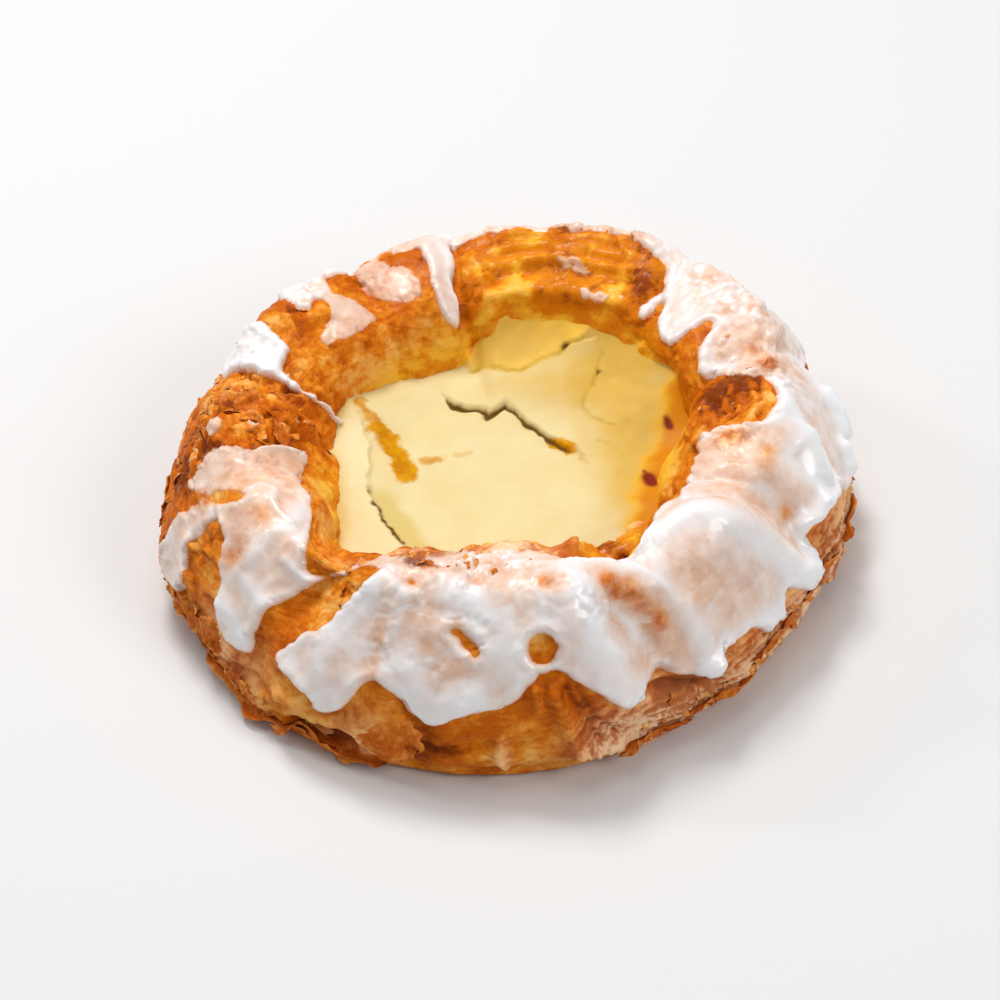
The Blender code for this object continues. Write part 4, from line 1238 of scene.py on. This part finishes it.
class Finish:
    """A Principled material and the nodes that feed it."""

    def __init__(self, name, **sockets):
        self.material = bpy.data.materials.new(name)
        self.material.use_nodes = True
        self.tree = self.material.node_tree
        self.shader = self.tree.nodes["Principled BSDF"]
        for socket, value in sockets.items():
            self.shader.inputs[socket.replace("_", " ")].default_value = value
        self.place = self.node("ShaderNodeTexCoord", {}, {}, "Object")

    def node(self, kind, settings, inputs, output=0):
        """One output of a new node, whose settings are made before its sockets are filled."""
        node = self.tree.nodes.new(kind)
        for name, value in settings.items():
            setattr(node, name, value)
        for socket, value in inputs.items():
            if isinstance(value, Value):
                self.tree.links.new(value.socket, node.inputs[socket])
            else:
                node.inputs[socket].default_value = value
        return Value(self, node.outputs[output])

    def field(self, name):
        """One number that the mesh carries at each point."""
        return self.node("ShaderNodeAttribute", {"attribute_name": name}, {}, "Fac")

    def noise(self, size, detail=3.0, place=None):
        """Noise around 0.5, with features about size metres across."""
        inputs = {"Vector": place or self.place, "Scale": 1 / size, "Detail": detail, "Roughness": 0.55}
        return self.node("ShaderNodeTexNoise", {}, inputs, "Fac")

    def cells(self, size, place, feature="F1"):
        """Irregular cells about size metres across: the distance to a centre, or to an edge."""
        settings = {"feature": feature}
        return self.node("ShaderNodeTexVoronoi", settings, {"Vector": place, "Scale": 1 / size}, "Distance")

    def shifted(self, place, noise, amount):
        """A place moved by a noise, which makes straight patterns wander."""
        settings = {"operation": "ADD"}
        return self.node("ShaderNodeVectorMath", settings, {0: place, 1: noise * amount})

    def mixed(self, share, first, second):
        """The second colour over the first by share."""
        colours = [c if isinstance(c, Value) else (*c, 1.0) for c in (first, second)]
        settings = {"data_type": "RGBA"}
        return self.node("ShaderNodeMix", settings, {"Factor": share, 6: colours[0], 7: colours[1]}, 2)

    def bumped(self, height, distance, strength=1.0):
        inputs = {"Height": height, "Distance": distance, "Strength": strength}
        return self.node("ShaderNodeBump", {}, inputs, "Normal")

    def feed(self, socket, value):
        self.tree.links.new(value.socket, self.shader.inputs[socket])


def linear(red, green, blue):
    """A colour given as its screen values from 0 to 255, as the linear values that shaders take."""
    parts = [c / 255 for c in (red, green, blue)]
    return tuple(c / 12.92 if c <= 0.04045 else ((c + 0.055) / 1.055) ** 2.4 for c in parts)


class Grain:
    """The crust's own patterns: mottling, crumbs, and the leaves of dough, which run round the ring."""

    def __init__(self, finish):
        self.mottle = finish.noise(0.0038, 4.0)
        self.crumb = finish.noise(0.0009, 3.0)
        round_ring = finish.node("ShaderNodeAttribute", {"attribute_name": "layers"}, {}, "Vector")
        wandering = finish.shifted(round_ring, self.mottle, 0.003)
        self.fibre = finish.noise(0.0011, 3.0, wandering)
        self.leaf = finish.cells(0.0024, wandering)


def crust_colour(finish, grain):
    """The baked crust's colour from what the mesh carries at each point."""
    pale = finish.field("pale")
    amber = finish.field("amber")
    uneven = (grain.mottle - 0.5) * 1.1 + (grain.crumb - 0.5) * (0.4 - amber * 0.3 + pale * 0.8)
    uneven += (grain.fibre - 0.5) * (0.8 - amber * 0.3)
    # this field holds the real browning and painted shade in hollows, a cavity, a crease and under the icing's edge
    depth = finish.field("bake_and_shade") + uneven + (finish.field("tone") - 0.5) * 0.4
    colour = finish.mixed(depth.eased(-0.1, 0.3), linear(236, 176, 92), linear(220, 130, 28))
    colour = finish.mixed(depth.eased(0.2, 0.6), colour, linear(192, 92, 6))
    colour = finish.mixed(depth.eased(0.55, 1.0), colour, linear(124, 52, 4))
    inside = finish.mixed(depth.eased(0.15, 0.7), linear(248, 210, 172), linear(196, 122, 76))
    colour = finish.mixed(pale * 0.85, colour, inside)
    soaked = finish.mixed(depth.eased(0.1, 0.5), linear(240, 184, 44), linear(216, 126, 8))
    soaked = finish.mixed(depth.eased(0.5, 1.0), soaked, linear(146, 62, 4))
    return finish.mixed((amber * (0.75 + grain.mottle * 0.5)).eased(0.1, 1.0), colour, soaked)


def crust_finish():
    finish = Finish("baked_crust", Specular_IOR_Level=0.08, Coat_Roughness=0.1, Coat_IOR=1.35, IOR=1.4)
    grain = Grain(finish)
    pale = finish.field("pale")
    amber = finish.field("amber")
    finish.feed("Base Color", crust_colour(finish, grain))
    finish.feed("Roughness", 0.44 + (grain.crumb - 0.5) * 0.4 + pale * 0.25)
    finish.feed("Coat Weight", (0.10 - pale * 0.3 + amber * 0.25).eased(0.0, 1.0))
    height = grain.crumb * 0.35 + grain.fibre * (0.6 - amber * 0.3) - grain.leaf * 0.2
    finish.feed("Normal", finish.bumped(height, 0.0005, 0.8))
    return finish.material


def icing_finish():
    finish = Finish("icing", Coat_Roughness=0.14, IOR=1.45, Subsurface_Weight=0.2)
    finish.shader.inputs["Subsurface Radius"].default_value = (1.0, 0.8, 0.7)
    finish.shader.inputs["Subsurface Scale"].default_value = 0.0012
    grain = Grain(finish)
    cover = finish.field("cover")
    veil = 1 - (cover**1.4 * -2.0 + (grain.mottle - 0.5) * 0.9 + (grain.crumb - 0.5) * 0.4).exponent()
    film = finish.mixed(grain.mottle.eased(0.35, 0.65), linear(228, 188, 156), linear(216, 170, 136))
    under = finish.mixed((cover + (grain.crumb - 0.5) * 0.3).eased(0.0, 0.2) * 0.85, crust_colour(finish, grain), film)
    colour = finish.mixed(veil, under, linear(236, 236, 238))
    finish.feed("Base Color", colour)
    finish.feed("Coat Weight", 0.08 + veil * 0.57)
    finish.feed("Roughness", 0.55 - veil * 0.25 + (grain.crumb - 0.5) * 0.2)
    finish.feed("Normal", finish.bumped(finish.noise(0.0018, 3.0), 0.0004, 0.3))
    return finish.material


def custard_finish():
    finish = Finish("custard", Specular_IOR_Level=0.06, Coat_Weight=0.0, Coat_Roughness=0.2, Subsurface_Weight=0.12)
    finish.shader.inputs["Subsurface Radius"].default_value = (1.0, 0.75, 0.35)
    finish.shader.inputs["Subsurface Scale"].default_value = 0.0015
    mottle = finish.noise(0.006, 3.0)
    grain = finish.noise(0.0008, 3.0)
    cloud = finish.noise(0.0025, 4.0)
    ripe_and_painted_light = finish.field("ripe_and_painted_light") + (finish.field("share") - 0.85) * 3.0 * finish.field("share").eased(0.85, 1.0)
    colour = finish.mixed(mottle.eased(0.3, 0.7), linear(218, 202, 152), linear(216, 196, 142))
    colour = finish.mixed(finish.field("band") * 0.8, colour, linear(232, 216, 170))
    colour = finish.mixed((ripe_and_painted_light + (cloud - 0.5) * 0.3).eased(0.0, 1.0), colour, linear(204, 164, 72))
    # painted light: where the skin climbs the back wall it is made a brighter yellow than the rest
    colour = finish.mixed((ripe_and_painted_light + (cloud - 0.5) * 0.4).eased(1.0, 1.7), colour, linear(254, 204, 84))
    # olive tint near the cracks, and painted shade beside the left split's raised band
    colour = finish.mixed(finish.field("olive_and_shade") * 0.55, colour, linear(196, 166, 62))
    amber = finish.mixed(cloud.eased(0.35, 0.65), linear(206, 146, 4), linear(186, 118, 2))
    colour = finish.mixed((finish.field("stain") * 1.4 + (cloud - 0.5) * 0.5).eased(0.1, 1.1), colour, amber)
    colour = finish.mixed((finish.field("dark") + (cloud - 0.5) * 0.3).eased(0.15, 0.9), colour, linear(104, 70, 16))
    soaked = finish.mixed((finish.field("soaked") + (cloud - 0.5) * 0.5).eased(0.3, 0.9), linear(222, 170, 44),
                          linear(208, 130, 6))
    colour = finish.mixed((finish.field("soaked") * 1.5 + (cloud - 0.5) * 0.3).eased(0.0, 0.85), colour, soaked)
    colour = finish.mixed((finish.field("burnt") + (cloud - 0.5) * 1.0).eased(0.2, 1.1), colour, linear(124, 34, 6))
    finish.feed("Base Color", colour)
    finish.feed("Roughness", 0.4 + (grain - 0.5) * 0.15)
    finish.feed("Normal", finish.bumped(grain, 0.00015, 0.2))
    return finish.material


# --- Pieces ---------------------------------------------------------------------------------------------


def make_crust():
    sheet = Sheet(CRUST_COLUMNS, station_places(CRUST_STEPS))
    relief, tone, pour = crust_relief(sheet)
    sunk = 1.8 * ease(pour.depth, 0.4, 1.8)
    points = sheet.points + sheet.normals * (relief - sunk)[:, :, None]
    points[:, :, 2] = np.maximum(points[:, :, 2], 0)
    piece = mesh_of("crust", points.reshape(-1, 3), grid_faces(*relief.shape), crust_fields(sheet, relief, tone))
    piece.data.materials.append(crust_finish())
    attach(piece, "root")
    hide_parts("dough")


# --- Stage ----------------------------------------------------------------------------------------------


def add_area_light(name, place, aim, size, power, colour):
    light = bpy.data.lights.new(name, "AREA")
    light.shape = "DISK"
    light.size = size
    light.energy = power
    light.color = colour
    holder = bpy.data.objects.new(name, light)
    holder.location = place
    holder.rotation_euler = (Vector(aim) - Vector(place)).to_track_quat("-Z", "Y").to_euler()
    bpy.context.scene.collection.objects.link(holder)


def make_stage():
    bpy.ops.mesh.primitive_plane_add(size=3.0, location=(0, 0, 0))
    floor = bpy.context.object
    floor.name = "floor"
    finish = Finish("floor", Roughness=0.7)
    finish.shader.inputs["Base Color"].default_value = (0.67, 0.66, 0.65, 1)
    floor.data.materials.append(finish.material)
    world = bpy.data.worlds.new("soft_light")
    world.use_nodes = True
    world.node_tree.nodes["Background"].inputs["Color"].default_value = (1.0, 1.0, 1.0, 1)
    world.node_tree.nodes["Background"].inputs["Strength"].default_value = 0.36
    bpy.context.scene.world = world
    add_area_light("window", (-0.16, 0.40, 0.76), (0, 0, 0.01), 0.26, 4.5, (0.98, 0.99, 1.0))
    add_area_light("roof_light", (-0.10, 0.20, 0.90), (0, 0, 0.01), 0.7, 2.4, (0.98, 0.99, 1.0))
    add_area_light("side_window", (-0.60, 0.20, 0.45), (0, 0, 0.01), 0.10, 0.8, (1.0, 1.0, 1.0))
    add_area_light("fill", (0.50, -0.35, 0.55), (0, 0, 0.01), 0.35, 1.9, (1.0, 0.99, 0.98))


VIEW_ELEVATION = 43
VIEW_DISTANCE = 0.5
VIEW_AIM = Vector((-0.00135, -0.00357, 0.012))
LENS = 107.1


def make_camera():
    camera = bpy.data.cameras.new("camera")
    camera.lens = LENS
    camera.sensor_width = 36
    camera.clip_start = 0.01
    holder = bpy.data.objects.new("camera", camera)
    slope = math.radians(VIEW_ELEVATION)
    holder.location = VIEW_AIM + VIEW_DISTANCE * Vector((0, -math.cos(slope), math.sin(slope)))
    holder.rotation_euler = (math.radians(90 - VIEW_ELEVATION), 0, 0)
    bpy.context.scene.collection.objects.link(holder)
    bpy.context.scene.camera = holder
    bpy.context.scene.view_settings.view_transform = "Standard"


make_crust()
make_icing()
make_flakes()
make_custard()
make_stage()
make_camera()
